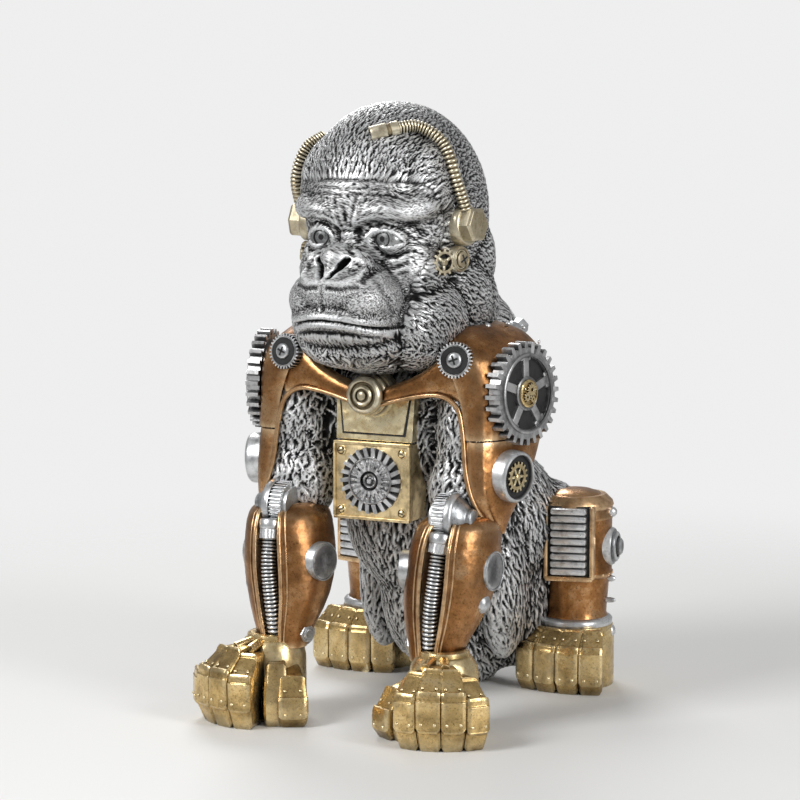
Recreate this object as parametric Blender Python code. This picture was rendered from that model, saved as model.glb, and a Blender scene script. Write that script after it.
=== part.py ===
"""A seated gorilla in clockwork armour, cast in resin as one solid piece.

The gorilla looks along -Y, its left side is at +X, and it stands on Z = 0 on its two
fists, its two feet and its rump. The furred body is blocked out with ellipsoids, fused
with a voxel remesh, carved with a few brush strokes and combed into locks. The armour,
hoses, gears, fists and feet are separate closed solids that one Boolean fuses to it.
"""

import math

import bmesh
import bpy
import numpy as np
from mathutils import Matrix, Vector, kdtree, noise

MM = 0.001

# Overall sizes
HEIGHT = 320 * MM
HEAD_HALF_WIDTH = 45 * MM
HEAD_HALF_DEPTH = 57 * MM
HEAD_HALF_HEIGHT = 57 * MM
MUZZLE_REACH = 85 * MM
SHOULDER_X = 50 * MM
SHOULDER_Z = 178 * MM
ARM_RADIUS = 19 * MM
TORSO_HALF_WIDTH = 46 * MM
TORSO_BACK_Y = 88 * MM
RUMP_BACK_Y = 112 * MM

# Limbs, on the gorilla's left side
ELBOW = Vector((54, -37, 111)) * MM
FIST = Vector((51, -49, 0)) * MM
FIST_RADIUS = 39.5 * MM
FIST_HEIGHT = 41 * MM
FINGER_AZIMUTH = -5.5
FINGER_FAN = 19.4
FINGER_WIDTH = 13 * MM
THUMB_LENGTH = 24 * MM
THUMB_WIDTH = 16 * MM
FINGER_COUNT = 4
SHIN = Vector((60, 97, 0)) * MM
SHIN_RADIUS = 20 * MM
SHIN_TOP = 108 * MM
SHIN_LOW = 34 * MM
SHIN_TURN = math.radians(14)
FOOT = Vector((63, 120, 0)) * MM
FOOT_RADIUS = 58 * MM
TOE_AZIMUTH = -20
TOE_FAN = 13.4
TOE_WIDTH = 13.4 * MM

# Forearm: height, centre x, centre y, half width outwards and inwards, half depth, in mm
FOREARM = (
    (112, 51, -26, 14, 14, 15),
    (107, 50, -28, 20, 20.5, 22.5),
    (96, 49, -30, 22, 23, 25),
    (80, 48, -32, 23, 24.5, 24.5),
    (65, 47, -36, 20.5, 23.5, 20.5),
    (50, 46, -42, 15.5, 18.5, 14.5),
    (38, 45, -46, 12, 14, 10),
)

# Clockwork
SHOULDER_GEAR_RADIUS = 26.5 * MM
SHOULDER_GEAR_TEETH = 18
COLLAR_GEAR_RADIUS = 9.2 * MM
COLLAR_GEAR_TEETH = 12
CHEST_GEAR_RADIUS = 17.5 * MM
CHEST_GEAR_TEETH = 16
TOOTH_DEPTH = 0.15
PORTHOLE_RADIUS = 13.3 * MM
ELBOW_WHEEL_RADIUS = 13 * MM
HOSE_RADIUS = 4 * MM
HOSE_PITCH = 4.6 * MM
KNOB_RADIUS = 8.6 * MM
KNOB_LENGTH = 15 * MM
CHEST_PLATE_WIDTH = 44 * MM
CHEST_PLATE_HEIGHT = 40 * MM
CHEST_PLATE_THICKNESS = 16 * MM
CHEST_PLATE_LOW = 105 * MM
CHEST_PLATE_FRONT = -30 * MM
CHEST_GEAR_HEIGHT = 126 * MM
KNOB_AT = Vector((0, -27, 169)) * MM
SHOULDER_GEAR_AT = Vector((74.5, -7.5, 173)) * MM
PORTHOLE_AT = Vector((74.5, -16.8, 131)) * MM
COLLAR_GEAR_AT = Vector((49, -32, 190.7)) * MM
KNEE_HUB_HEIGHT = 77 * MM
EYE_AT = Vector((18, -44.5, 252.5)) * MM
EYE_RADIUS = 8.6 * MM
LID_THICKNESS = 0.9 * MM
EAR_BOLT_AT = Vector((42, -13, 258)) * MM
EAR_BOLT_RADIUS = 9.6 * MM

# Fur and mesh
VOXEL = 2.1 * MM
SMOOTHING = 4
LOCK_LENGTH = 25 * MM
LOCK_WIDTH = 10.5 * MM
LOCK_HEIGHT = 3.6 * MM
BODY_FACES = 9000
FACE_SHARE = 0.4
MOST_FACES = 11800
FUR_SEED = 7
SHARP_ANGLE = math.radians(35)


def clear_scene():
    for thing in list(bpy.data.objects):
        bpy.data.objects.remove(thing)


def material(name, colour, roughness, metallic):
    made = bpy.data.materials.new(name)
    made.use_nodes = True
    shader = made.node_tree.nodes["Principled BSDF"]
    shader.inputs["Base Color"].default_value = (*colour, 1)
    shader.inputs["Roughness"].default_value = roughness
    shader.inputs["Metallic"].default_value = metallic
    return made


def object_from(name, mesh, collection=None):
    """A scene object from a bmesh, with its faces turned outwards."""
    bmesh.ops.recalc_face_normals(mesh, faces=mesh.faces)
    data = bpy.data.meshes.new(name)
    mesh.to_mesh(data)
    mesh.free()
    data.shade_smooth()
    data.set_sharp_from_angle(angle=SHARP_ANGLE)
    made = bpy.data.objects.new(name, data)
    (collection or bpy.context.scene.collection).objects.link(made)
    return made


# Solids made from rings of points


def loft(rings):
    """A closed skin through rings of points, each joined to the next, with flat ends."""
    around, along = len(rings[0]), len(rings) - 1
    mesh = bmesh.new()
    bmesh.ops.create_grid(mesh, x_segments=around, y_segments=along, size=1)
    for vertex in mesh.verts:
        column = round((vertex.co.x + 1) / 2 * around) % around
        row = round((vertex.co.y + 1) / 2 * along)
        vertex.co = rings[row][column]
    bmesh.ops.remove_doubles(mesh, verts=mesh.verts, dist=1e-6)
    bmesh.ops.holes_fill(mesh, edges=[e for e in mesh.edges if e.is_boundary], sides=0)
    return mesh


def mirrored(rings, side):
    """The rings as drawn for the left side, or mirrored to the right for side -1."""
    return [[Vector((side * p.x, p.y, p.z)) for p in ring] for ring in rings]


def frame_at(point, along, up=Vector((0, 0, 1))):
    """A matrix at point whose Z runs along the given direction."""
    z = Vector(along).normalized()
    x = Vector(up).cross(z)
    x = x.normalized() if x.length > 1e-6 else Vector((1, 0, 0))
    y = z.cross(x)
    return Matrix.Translation(point) @ Matrix((x, y, z)).transposed().to_4x4()


def circle(radius, height, sides, frame):
    """One ring of a turned shape, at a height along the frame's Z."""
    turns = [2 * math.pi * k / sides for k in range(sides)]
    return [frame @ Vector((radius * math.cos(a), radius * math.sin(a), height)) for a in turns]


def turned(profile, frame, sides):
    """The rings of a turned shape from (radius, height) pairs."""
    return [circle(radius, height, sides, frame) for radius, height in profile]


def smooth_path(knots, count):
    """Evenly numbered points on a Catmull-Rom curve through the knots."""
    padded = [2 * knots[0] - knots[1], *knots, 2 * knots[-1] - knots[-2]]
    found = []
    for k in range(count):
        place = k / (count - 1) * (len(knots) - 1)
        i = min(int(place), len(knots) - 2)
        t = place - i
        a, b, c, d = padded[i : i + 4]
        bend = 2 * a - 5 * b + 4 * c - d
        twist = 3 * b - a - 3 * c + d
        found.append(0.5 * (2 * b + (c - a) * t + bend * t**2 + twist * t**3))
    return found


# The furred body


def fur_masses():
    """(centre, radii) of each ellipsoid of the body; those off the middle are doubled."""
    head_z = HEIGHT / MM - HEAD_HALF_HEIGHT / MM
    eye, lid = EYE_AT / MM, EYE_RADIUS / MM + LID_THICKNESS / MM
    reach = MUZZLE_REACH / MM
    head = (HEAD_HALF_WIDTH / MM, HEAD_HALF_DEPTH / MM, HEAD_HALF_HEIGHT / MM)
    shoulder_x, shoulder_z = SHOULDER_X / MM, SHOULDER_Z / MM
    torso, torso_back, rump_back = TORSO_HALF_WIDTH / MM, TORSO_BACK_Y / MM, RUMP_BACK_Y / MM
    arm = ARM_RADIUS / MM
    masses = (
        # skull
        ((0, 0, head_z), head),
        ((0, -7, head_z + 9), (head[0] - 3, head[1] - 4, head[2] - 9)),
        ((23, -17, head_z + 14), (20, 28, 28)),
        ((0, 26, head_z - 50), (head[0] - 2, 36, 38)),
        # forehead, brow, lids and cheeks
        ((0, -34, head_z + 5), (40, 24, 14)),
        ((15, -45, head_z + 2), (18, 13, 8)),
        ((eye.x, eye.y, eye.z), (lid, lid, lid)),
        ((0, -28, head_z - 13), (36, 23, 28)),
        ((23, -27, head_z - 29), (16, 23, 25)),
        # nose
        ((0, 36 - reach, head_z - 9), (7, 9, 18)),
        ((0, 19 - reach, head_z - 20), (9, 11, 8)),
        ((10, 22 - reach, head_z - 23.5), (7.5, 10, 7.5)),
        # muzzle and lips
        ((0, 27 - reach, head_z - 36), (26, 27, 16)),
        ((13, 28 - reach, head_z - 41), (17, 26, 15)),
        ((0, 29 - reach, head_z - 49), (28, 28, 12)),
        ((0, 31 - reach, head_z - 56), (27, 27, 11)),
        ((0, 39 - reach, head_z - 64), (27, 27, 13)),
        # jowls, beard and neck
        ((22, -20, head_z - 54), (24, 33, 26)),
        ((0, -22, head_z - 64), (30, 34, 18)),
        ((0, 8, head_z - 46), (47, 42, 42)),
        ((0, 46, 195), (46, 34, 32)),
        ((0, 44, 172), (46, 38, 34)),
        # chest, back and rump
        ((0, 12, 152), (torso, 38, 46)),
        ((shoulder_x - 6, 6, shoulder_z), (26, 32, 26)),
        ((0, 32, 182), (50, 38, 34)),
        ((0, torso_back - 46, 122), (torso, 46, 66)),
        ((0, 22, 102), (38, 36, 44)),
        ((0, 34, 64), (22, 32, 46)),
        ((0, rump_back - 36, 46), (38, 36, 50)),
        # hips and thighs
        ((32, 78, 90), (22, 32, 38)),
        ((46, 98, 76), (20, 22, 36)),
        ((0, 70, 92), (40, 38, 44)),
        ((30, 86, 58), (22, 28, 50)),
        ((36, 56, 62), (12, 20, 44)),
        # arms
        ((shoulder_x, -10, shoulder_z - 28), (arm, 22, 46)),
        ((shoulder_x - 2, -18, 122), (arm, 19, 24)),
    )
    return [(Vector(centre) * MM, Vector(radii) * MM) for centre, radii in masses]


def fused_body():
    """The ellipsoids fused by a voxel remesh and smoothed, as a plain mesh."""
    mesh = bmesh.new()
    for centre, radii in fur_masses():
        for side in (1, -1) if centre.x > 0 else (1,):
            place = Matrix.Translation((side * centre.x, centre.y, centre.z))
            size = Matrix.Diagonal((*radii, 1))
            bmesh.ops.create_icosphere(mesh, subdivisions=4, radius=1, matrix=place @ size)
    rough = object_from("block_out", mesh)
    remesh = rough.modifiers.new("fuse", "REMESH")
    remesh.mode = "VOXEL"
    remesh.voxel_size = VOXEL
    smooth = rough.modifiers.new("soften", "SMOOTH")
    smooth.factor = 0.5
    smooth.iterations = SMOOTHING
    fused = bpy.data.meshes.new_from_object(rough.evaluated_get(bpy.context.evaluated_depsgraph_get()))
    bpy.data.objects.remove(rough)
    return fused


def read_points(mesh):
    points = np.empty(len(mesh.vertices) * 3, np.float32)
    normals = np.empty(len(mesh.vertices) * 3, np.float32)
    mesh.vertices.foreach_get("co", points)
    mesh.vertices.foreach_get("normal", normals)
    return points.reshape(-1, 3).astype(float), normals.reshape(-1, 3).astype(float)


def write_points(mesh, points):
    mesh.vertices.foreach_set("co", points.astype(np.float32).ravel())
    mesh.update()


def brush(points, normals, path, radius, lift):
    """Raises (or, with a negative lift, sinks) the skin near a path, on both sides of the face."""
    reach = np.full(len(points), np.inf)
    pushed = STROKES_DRAWN_AT - MUZZLE_REACH / MM
    for side in (1, -1):
        knots = np.array([(side * x, y + pushed, z) for x, y, z in path], float) * MM
        for a, b in zip(knots, knots[1:] if len(knots) > 1 else knots):
            along = b - a
            length = max(along @ along, 1e-12)
            t = np.clip((points - a) @ along / length, 0, 1)
            reach = np.minimum(reach, np.linalg.norm(points - a - t[:, None] * along, axis=1))
    share = np.clip(1 - reach / (radius * MM), 0, 1)
    return points + normals * (lift * MM * share * share * (3 - 2 * share))[:, None]


# The strokes below were drawn on a muzzle that reaches this far, in millimetres
STROKES_DRAWN_AT = 85
FACE_STROKES = (
    # path in millimetres on the left of the face, radius, lift
    ([(10, -55, 256), (18, -54, 253), (26, -49, 252)], 7, -4.2),
    ([(6, -58, 263), (16, -60, 267), (27, -54, 268), (35, -45, 264)], 7, 2.4),
    ([(9, -53, 254), (14, -54, 258), (21, -53, 259), (27, -47, 256)], 3, 1.6),
    ([(10, -53, 249), (17, -52, 246), (24, -50, 247), (28, -45, 250)], 3, 1.4),
    ([(11, -55, 246), (19, -49, 240), (28, -46, 242)], 4, -1.4),
    ([(4.5, -56, 252), (8, -56, 246), (14, -56, 243)], 4, -1.8),
    ([(2.5, -82, 234.5), (5, -76, 238.6), (9, -71, 243)], 3.4, -5.5),
    ([(9, -82, 231.5), (15, -75, 234.4), (16, -70, 239), (12, -69, 245)], 3.6, 1.8),
    ([(19, -70, 234), (19, -62, 240), (14, -60, 246)], 4, -2.4),
    ([(22, -70, 232), (28, -64, 226), (30, -60, 218), (29, -55, 210)], 4, -2.0),
    ([(0, -84.5, 213.4), (9, -83, 212.2), (20, -74, 209.6), (28, -58, 208.6)], 2.8, -3.2),
    ([(0, -84, 216), (10, -82, 215), (20, -74, 213)], 4, 1.2),
    ([(0, -83, 209.4), (9, -80, 208), (20, -71, 206)], 4, 1.2),
    ([(0, -60, 280), (17, -55, 281), (30, -44, 280), (38, -36, 276)], 4, -2.0),
)


def fur_direction(point):
    """Which way the hair lies: away from the nose on the head, down on the body."""
    x, y, z = point / MM
    if z > HEIGHT / MM - 2.2 * HEAD_HALF_HEIGHT / MM:
        way = np.array((x, y + 70, z - 240))
    else:
        way = np.array((0.3 * x, 0.2 * (y - 20), -60.0))
    swirl = np.array(noise.noise_vector(Vector(point) * 30))
    return way / np.linalg.norm(way) + 0.6 * swirl


def bare_skin(points):
    """1 on the bare face and 0 on fur, worked out from the distance to the nose."""
    x, y, z = (points / MM).T
    forward = np.clip((-40 - y) / 12, 0, 1)
    return forward * np.clip((38 - np.hypot(x, (z - 240) * 0.85)) / 6, 0, 1) * (z > 196)


def comb(points, normals):
    """Carves overlapping locks: each point takes the height of the tallest lock over it."""
    random = np.random.default_rng(FUR_SEED)
    tree = kdtree.KDTree(len(points))
    for i, p in enumerate(points):
        tree.insert(p, i)
    tree.balance()
    cells = np.floor(points / (LOCK_WIDTH * 1.1)).astype(int)
    roots = np.unique(cells, axis=0, return_index=True)[1]
    height = np.zeros(len(points))
    for root in random.permutation(roots):
        start, up = points[root], normals[root]
        way = fur_direction(start)
        way -= up * (way @ up)
        way /= np.linalg.norm(way) + 1e-9
        across = np.cross(up, way)
        found = tree.find_range(Vector(start + way * LOCK_LENGTH / 2), LOCK_LENGTH * 0.65)
        near = np.array([i for _, i, _ in found])
        if not len(near):
            continue
        offset = points[near] - start
        s = offset @ way / LOCK_LENGTH
        bend = random.uniform(-0.5, 0.5) * LOCK_WIDTH * np.sin(math.pi * s)
        width = LOCK_WIDTH / 2 * np.sqrt(np.clip(4 * s * (1.02 - s), 0, 1)) + 1e-6
        t = np.clip(np.abs(offset @ across - bend) / width, 0, 1)
        lock = LOCK_HEIGHT * (0.4 + 0.6 * s) * np.sqrt(1 - t * t) * ((s > 0) & (s < 1))
        height[near] = np.maximum(height[near], lock)
    furred = 1 - bare_skin(points)
    return points + normals * ((height - LOCK_HEIGHT / 2) * furred)[:, None]


def gorilla_body():
    """The furred body with its face, thinned to few faces and cut flat at the ground."""
    mesh = fused_body()
    points, normals = read_points(mesh)
    for path, radius, lift in FACE_STROKES:
        points = brush(points, normals, path, radius, lift)
    write_points(mesh, points)
    points, normals = read_points(mesh)
    write_points(mesh, comb(points, normals))
    mesh.shade_smooth()
    body = bpy.data.objects.new("gorilla_figurine", mesh)
    bpy.context.scene.collection.objects.link(body)
    thinned = body.vertex_groups.new(name="thinned")
    skin = bare_skin(points)
    thinned.add(np.flatnonzero(skin <= 0.5).tolist(), 1, "REPLACE")
    thinned.add(np.flatnonzero(skin > 0.5).tolist(), FACE_SHARE, "REPLACE")
    thin = body.modifiers.new("few_faces", "DECIMATE")
    thin.vertex_group = thinned.name
    thin.ratio = BODY_FACES / (2 * len(mesh.polygons))
    thin.use_collapse_triangulate = True
    return body


# Armour and clockwork: each maker returns a list of ring lists, one for each closed solid


def toothed_ring(frame, radius, inner, teeth, low, high):
    """A flat ring with teeth round its rim, as a strip of sections that closes on itself."""
    sections = []
    for k in range(teeth * 4):
        angle = 2 * math.pi * (k + 0.5) / (teeth * 4)
        rim = radius if k % 4 in (1, 2) else radius * (1 - TOOTH_DEPTH)
        corners = ((inner, low), (rim, low), (rim, high), (inner, high))
        sections.append(
            [frame @ Vector((r * math.cos(angle), r * math.sin(angle), h)) for r, h in corners]
        )
    return sections


def toothed_disc(frame, radius, teeth, low, high):
    """A solid disc with teeth round its rim, as two rings."""
    rings = []
    for h in (low, high):
        ring = []
        for k in range(teeth * 4):
            angle = 2 * math.pi * (k + 0.5) / (teeth * 4)
            rim = radius if k % 4 in (1, 2) else radius * (1 - TOOTH_DEPTH)
            ring.append(frame @ Vector((rim * math.cos(angle), rim * math.sin(angle), h)))
        rings.append(ring)
    return rings


def closed_strip(sections):
    """A ring-shaped solid through sections whose last joins its first."""
    around, along = len(sections[0]), len(sections)
    mesh = bmesh.new()
    bmesh.ops.create_grid(mesh, x_segments=around, y_segments=along, size=1)
    for vertex in mesh.verts:
        column = round((vertex.co.x + 1) / 2 * around) % around
        row = round((vertex.co.y + 1) / 2 * along) % along
        vertex.co = sections[row][column]
    bmesh.ops.remove_doubles(mesh, verts=mesh.verts, dist=1e-6)
    return mesh


def box_rings(frame, x, y, z):
    """A block between two corners given as (low, high) pairs in a frame."""
    corners = ((x[0], y[0]), (x[1], y[0]), (x[1], y[1]), (x[0], y[1]))
    return [[frame @ Vector((a, b, h)) for a, b in corners] for h in z]


def hose_rings(knots, radius, pitch, sides):
    """A ribbed hose: rings of two radii along a smooth path."""
    length = sum((b - a).length for a, b in zip(knots, knots[1:]))
    count = 2 * max(4, round(length / pitch)) + 1
    path = smooth_path(knots, count)
    rings = []
    for k, point in enumerate(path):
        along = path[min(k + 1, count - 1)] - path[max(k - 1, 0)]
        wide = radius if k % 2 else radius * 0.78
        rings.append(circle(wide, 0, sides, frame_at(point, along, Vector((1, 0, 0)))))
    return rings


class Casting:
    """Collects the closed solids that are fused to the body."""

    def __init__(self):
        self.parts = bpy.data.collections.new("armour_and_clockwork")
        bpy.context.scene.collection.children.link(self.parts)
        self.count = 0

    def add_mesh(self, name, mesh):
        made = object_from(f"{name}_{self.count}", mesh, self.parts)
        made.hide_render = True
        made.display_type = "WIRE"
        self.count += 1
        return made

    def add(self, name, rings, sides=(1, -1)):
        for side in sides:
            self.add_mesh(name, loft(mirrored(rings, side)))

    def add_strip(self, name, sections, sides=(1, -1)):
        for side in sides:
            self.add_mesh(name, closed_strip(mirrored(sections, side)))


def vec(*numbers):
    return Vector(numbers) * MM


def turned_out(turn, height=0):
    """The direction at an angle from straight ahead, turned towards the gorilla's left."""
    angle = math.radians(turn)
    return Vector((math.sin(angle), -math.cos(angle), height))


def add_pauldrons(casting):
    """Copper shoulder caps, from the neck edge over the shoulder to a pointed tip on the arm."""
    upper = (
        # height, then x and y of the front inner edge, front ridge, rear corner, rear edge
        (206, (44, -12), (49, -8), (56, 14), (44, 26)),
        (201, (38, -25), (54, -20), (65, 20), (44, 42)),
        (192, (42, -32), (62, -28), (73, 22), (50, 46)),
        (180, (48, -32.5), (65.5, -30), (77, 22), (57, 44)),
        (166, (52.5, -32.5), (66.3, -30), (78, 20), (61, 40)),
        (150, (54, -33), (66.3, -30.5), (77.5, 15), (62, 32)),
    )
    lower = (
        (149.4, (54.6, -32), (65.5, -29.5), (76.5, 14), (62, 31)),
        (135, (56, -34), (66.8, -31), (75.5, 8), (63, 20)),
        (121, (59, -34.5), (67.5, -30.5), (73.5, -2), (63, 6)),
        (110, (64, -30), (68.5, -26.5), (71.5, -12), (66, -8)),
        (102, (68, -20), (69, -18), (69.5, -16), (68, -15)),
    )
    for name, stations in (("pauldron", upper), ("arm_plate", lower)):
        rings = []
        for z, *corners in stations:
            inner, ridge, rear, back = (Vector((x, y, z)) * MM for x, y in corners)
            spine = Vector((48 if z > 105 else 62, (corners[0][1] + corners[3][1]) / 2, z)) * MM
            chord = rear - ridge
            bulge = chord.cross(Vector((0, 0, 1))).normalized() * chord.length * 0.28
            bows = [ridge.lerp(rear, t) + bulge * t * (1 - t) for t in (0.25, 0.5, 0.75)]
            front = [inner, inner.lerp(ridge, 0.6), ridge]
            rings.append([*front, *bows, rear, rear.lerp(back, 0.6), back, spine])
        casting.add(name, rings)


def add_straps(casting):
    """The copper straps that run from the shoulder caps to the knob on the chest."""
    line = (
        # x, y, z and half height of the strap
        (48, -30, 183, 13),
        (38, -31.5, 181, 8.5),
        (22, -33.5, 174.5, 5),
        (4, -34, 169, 4),
    )
    rings = []
    for x, y, z, half in line:
        crest = half * 0.45
        edge = ((16, half), (2, half), (-1, crest), (-1, -crest), (2, -half), (16, -half))
        rings.append([vec(x, y + back, z + up) for back, up in edge])
    casting.add("strap", rings)


def add_shoulder_clockwork(casting):
    """The big spoked gear on the shoulder, the porthole below it and the collar gear."""
    frame = frame_at(SHOULDER_GEAR_AT, turned_out(77, 0.03))
    radius = SHOULDER_GEAR_RADIUS
    rim = toothed_ring(frame, radius, radius * 0.7, SHOULDER_GEAR_TEETH, -6 * MM, 4 * MM)
    casting.add_strip("shoulder_gear", rim)
    casting.add("gear_window", turned([(radius * 0.8, -6 * MM), (radius * 0.8, 1 * MM)], frame, 16))
    casting.add("gear_hub", turned([(7 * MM, -2 * MM), (7 * MM, 4.6 * MM)], frame, 10))
    for k in range(5):
        arm = frame @ Matrix.Rotation(2 * math.pi * (k + 0.25) / 5, 4, "Z")
        bar = box_rings(arm, (5 * MM, radius * 0.74), (-2.2 * MM, 2.2 * MM), (-1 * MM, 3.6 * MM))
        casting.add("gear_spoke", bar)
    porthole = frame_at(PORTHOLE_AT, turned_out(77, -0.05))
    r = PORTHOLE_RADIUS
    profile = [(r, -9 * MM), (r, 2.5 * MM), (r * 0.86, 4.4 * MM), (r * 0.76, 2 * MM)]
    casting.add("porthole", turned(profile, porthole, 16))
    casting.add("porthole_gear", toothed_disc(porthole, r * 0.55, 6, 1 * MM, 3.4 * MM))
    collar = frame_at(COLLAR_GEAR_AT, turned_out(8, 0.15))
    r = COLLAR_GEAR_RADIUS
    casting.add("collar_gear", toothed_disc(collar, r, COLLAR_GEAR_TEETH, -13 * MM, 2.5 * MM))
    profile = [(r * 0.5, 1 * MM), (r * 0.5, 4 * MM), (r * 0.33, 4.8 * MM)]
    casting.add("collar_screw", turned(profile, collar, 8))


def add_chest(casting):
    """The brass plate with its gear, and the ringed knob above it."""
    half = CHEST_PLATE_WIDTH / 2
    low = CHEST_PLATE_LOW
    top = low + CHEST_PLATE_HEIGHT
    front = CHEST_PLATE_FRONT
    back = front + CHEST_PLATE_THICKNESS
    edge = 2.4 * MM
    plate = []
    for z, inset in ((low, edge), (low + edge, 0), (top - edge, 0), (top, edge)):
        side = half - inset * 0.4
        face = front + inset * 0.6
        outline = ((side, back), (side, front + edge), (half - edge, face))
        outline += ((edge - half, face), (-side, front + edge), (-side, back))
        plate.append([Vector((x, y, z)) for x, y in outline])
    casting.add("chest_plate", plate, (1,))
    throat = ((half, 3, 1, 23), (half * 0.74, 1.8, 5, 20))
    for wide, proud, foot, brim in throat:
        ends = []
        for x in (-wide, wide):
            outline = ((x, back, foot), (x * 0.92, front + proud * MM, foot))
            outline += ((x, front + (proud + 1.5) * MM, brim), (x, back, brim))
            ends.append([Vector((a, b, top + up * MM)) for a, b, up in outline])
        casting.add("throat_plate", ends, (1,))
    gear = frame_at(Vector((0, front, CHEST_GEAR_HEIGHT)), Vector((0, -1, 0)))
    r = CHEST_GEAR_RADIUS
    rim = toothed_ring(gear, r, r * 0.62, CHEST_GEAR_TEETH, -2 * MM, 2 * MM)
    casting.add_strip("chest_gear", rim, (1,))
    hub = [(r * 0.42, -2 * MM), (r * 0.42, 1 * MM), (r * 0.3, 1 * MM), (r * 0.3, 2.6 * MM)]
    hub.append((r * 0.12, 2.6 * MM))
    casting.add("chest_gear_hub", turned(hub, gear, 12), (1,))
    knob = frame_at(KNOB_AT, Vector((0, -1, 0.05)))
    r, length = KNOB_RADIUS, KNOB_LENGTH
    profile = [(r * 1.2, -6 * MM), (r * 1.2, length * 0.2), (r, length * 0.3), (r * 1.08, length * 0.5)]
    profile += [(r * 0.92, length * 0.6), (r, length * 0.8), (r * 0.8, length), (r * 0.35, length * 0.9)]
    casting.add("knob", turned(profile, knob, 14), (1,))


def add_forearms(casting):
    """Two copper shells on each forearm, with the ribbed hose between them in front."""
    for way, name in ((1, "outer_forearm_shell"), (-1, "inner_forearm_shell")):
        rings = []
        for z, x, y, outwards, inwards, deep in FOREARM:
            wide = outwards if way > 0 else inwards
            ring = []
            for turn in (22, 34, 58, 84, 110, 136, 160):
                lean = math.radians(turn)
                ring.append(vec(x + way * wide * math.sin(lean) ** 0.9, y - deep * math.cos(lean), z))
            rings.append([*ring, vec(x, y + deep * 0.5, z), vec(x + way * 1.5, y - deep * 0.45, z)])
        casting.add(name, rings)
        place, turn = ((69, -31, 84), 88) if way > 0 else ((31.5, -33.5, 81), -60)
        disc = frame_at(vec(*place), turned_out(turn))
        profile = [(10 * MM, -3 * MM), (10 * MM, 4.2 * MM), (8.4 * MM, 4.8 * MM)]
        casting.add("forearm_disc", turned(profile, disc, 14))
    core = []
    for z, x, y, wide, _, _ in (*FOREARM, (30, 46, -45, 17.5, 0, 0)):
        core.append(circle(wide * 0.62 * MM, 0, 8, Matrix.Translation(vec(x, y - 1, z))))
    casting.add("forearm_core", core)
    knots = [vec(49, -50.5, 99), vec(48, -54.5, 80), vec(46, -55, 62), vec(44.5, -53, 41)]
    casting.add("hose", hose_rings(knots, HOSE_RADIUS, HOSE_PITCH, 7))
    band = frame_at(knots[0], knots[0] - knots[1])
    profile = [(5 * MM, -3 * MM), (5 * MM, 3 * MM), (5.8 * MM, 3.2 * MM), (5.8 * MM, 7 * MM)]
    casting.add("hose_collar", turned(profile, band, 8))
    r = ELBOW_WHEEL_RADIUS
    wheel = frame_at(ELBOW, Vector((1, 0, 0)))
    profile = [(r * 0.7, -11 * MM), (r * 0.9, -10 * MM), (r * 0.9, -3 * MM), (r, -3 * MM)]
    profile += [(r, 0), (r * 0.45, 9 * MM)]
    casting.add("elbow_wheel", turned(profile, wheel, 14))
    bolt = frame_at(vec(33.5, -44, 45), turned_out(-62))
    casting.add("wrist_washer", turned([(7 * MM, -5 * MM), (7 * MM, 1.5 * MM)], bolt, 12))
    casting.add("wrist_bolt", turned([(4.8 * MM, 0), (4.8 * MM, 5 * MM)], bolt, 6))
    dome = frame_at(vec(67, -36, 68), turned_out(80))
    casting.add("dome", turned([(4.6 * MM, -4 * MM), (4.6 * MM, 1 * MM), (2.6 * MM, 4 * MM)], dome, 8))


def digit(place, azimuth, outline, width):
    """One armoured finger: a side outline that points away from place and widens with reach."""
    ahead, aside = turned_out(azimuth), turned_out(azimuth + 90)
    reach = max(q for q, _ in outline)
    middle = Vector((sum(q for q, _ in outline), sum(z for _, z in outline))) / len(outline)
    rings = []
    for across, share in ((-0.5, 0.84), (-0.34, 1), (0.34, 1), (0.5, 0.84)):
        ring = []
        for q, z in outline:
            near = middle.lerp(Vector((q, z)), share)
            sweep = across * width * (0.5 + 0.5 * q / reach)
            ring.append(place + (ahead * near.x + Vector((0, 0, max(near.y, 0)))) * MM + aside * sweep)
        rings.append(ring)
    return rings


def add_fists(casting):
    """Gold fists: armoured fingers fanned round the wrist, a thumb and the wrist block."""
    r, h = FIST_RADIUS / MM, FIST_HEIGHT / MM
    finger = [(8, 0), (8, h - 1), (r * 0.64, h - 2), (r * 0.68, h - 1)]
    finger += [(r * 0.93, h * 0.73), (r * 0.97, h * 0.74), (r, h * 0.66), (r * 0.975, h * 0.64)]
    finger += [(r, h * 0.28), (r * 0.96, h * 0.24), (r * 0.86, 0)]
    for k in range(FINGER_COUNT):
        lower = (0.94, 1, 0.99, 0.88)[k]
        outline = [(q, z * lower) for q, z in finger]
        casting.add("finger", digit(FIST, FINGER_AZIMUTH + k * FINGER_FAN, outline, FINGER_WIDTH))
    t = THUMB_LENGTH / MM
    thumb = [(-8, 0), (-8, 31), (t * 0.2, 29), (t * 0.62, 25), (t * 0.66, 26)]
    thumb += [(t * 0.9, 15.5), (t * 0.95, 16), (t, 13), (t, 5), (t * 0.86, 0)]
    casting.add("thumb", digit(FIST + vec(-14, -1, 0), -31, thumb, THUMB_WIDTH))
    block = Matrix.Translation(FIST + vec(-1, 2, 0))
    profile = [(17 * MM, 0), (18 * MM, 10 * MM), (17.5 * MM, 33 * MM), (14 * MM, 42 * MM)]
    casting.add("wrist_block", turned(profile, block, 12))


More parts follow.
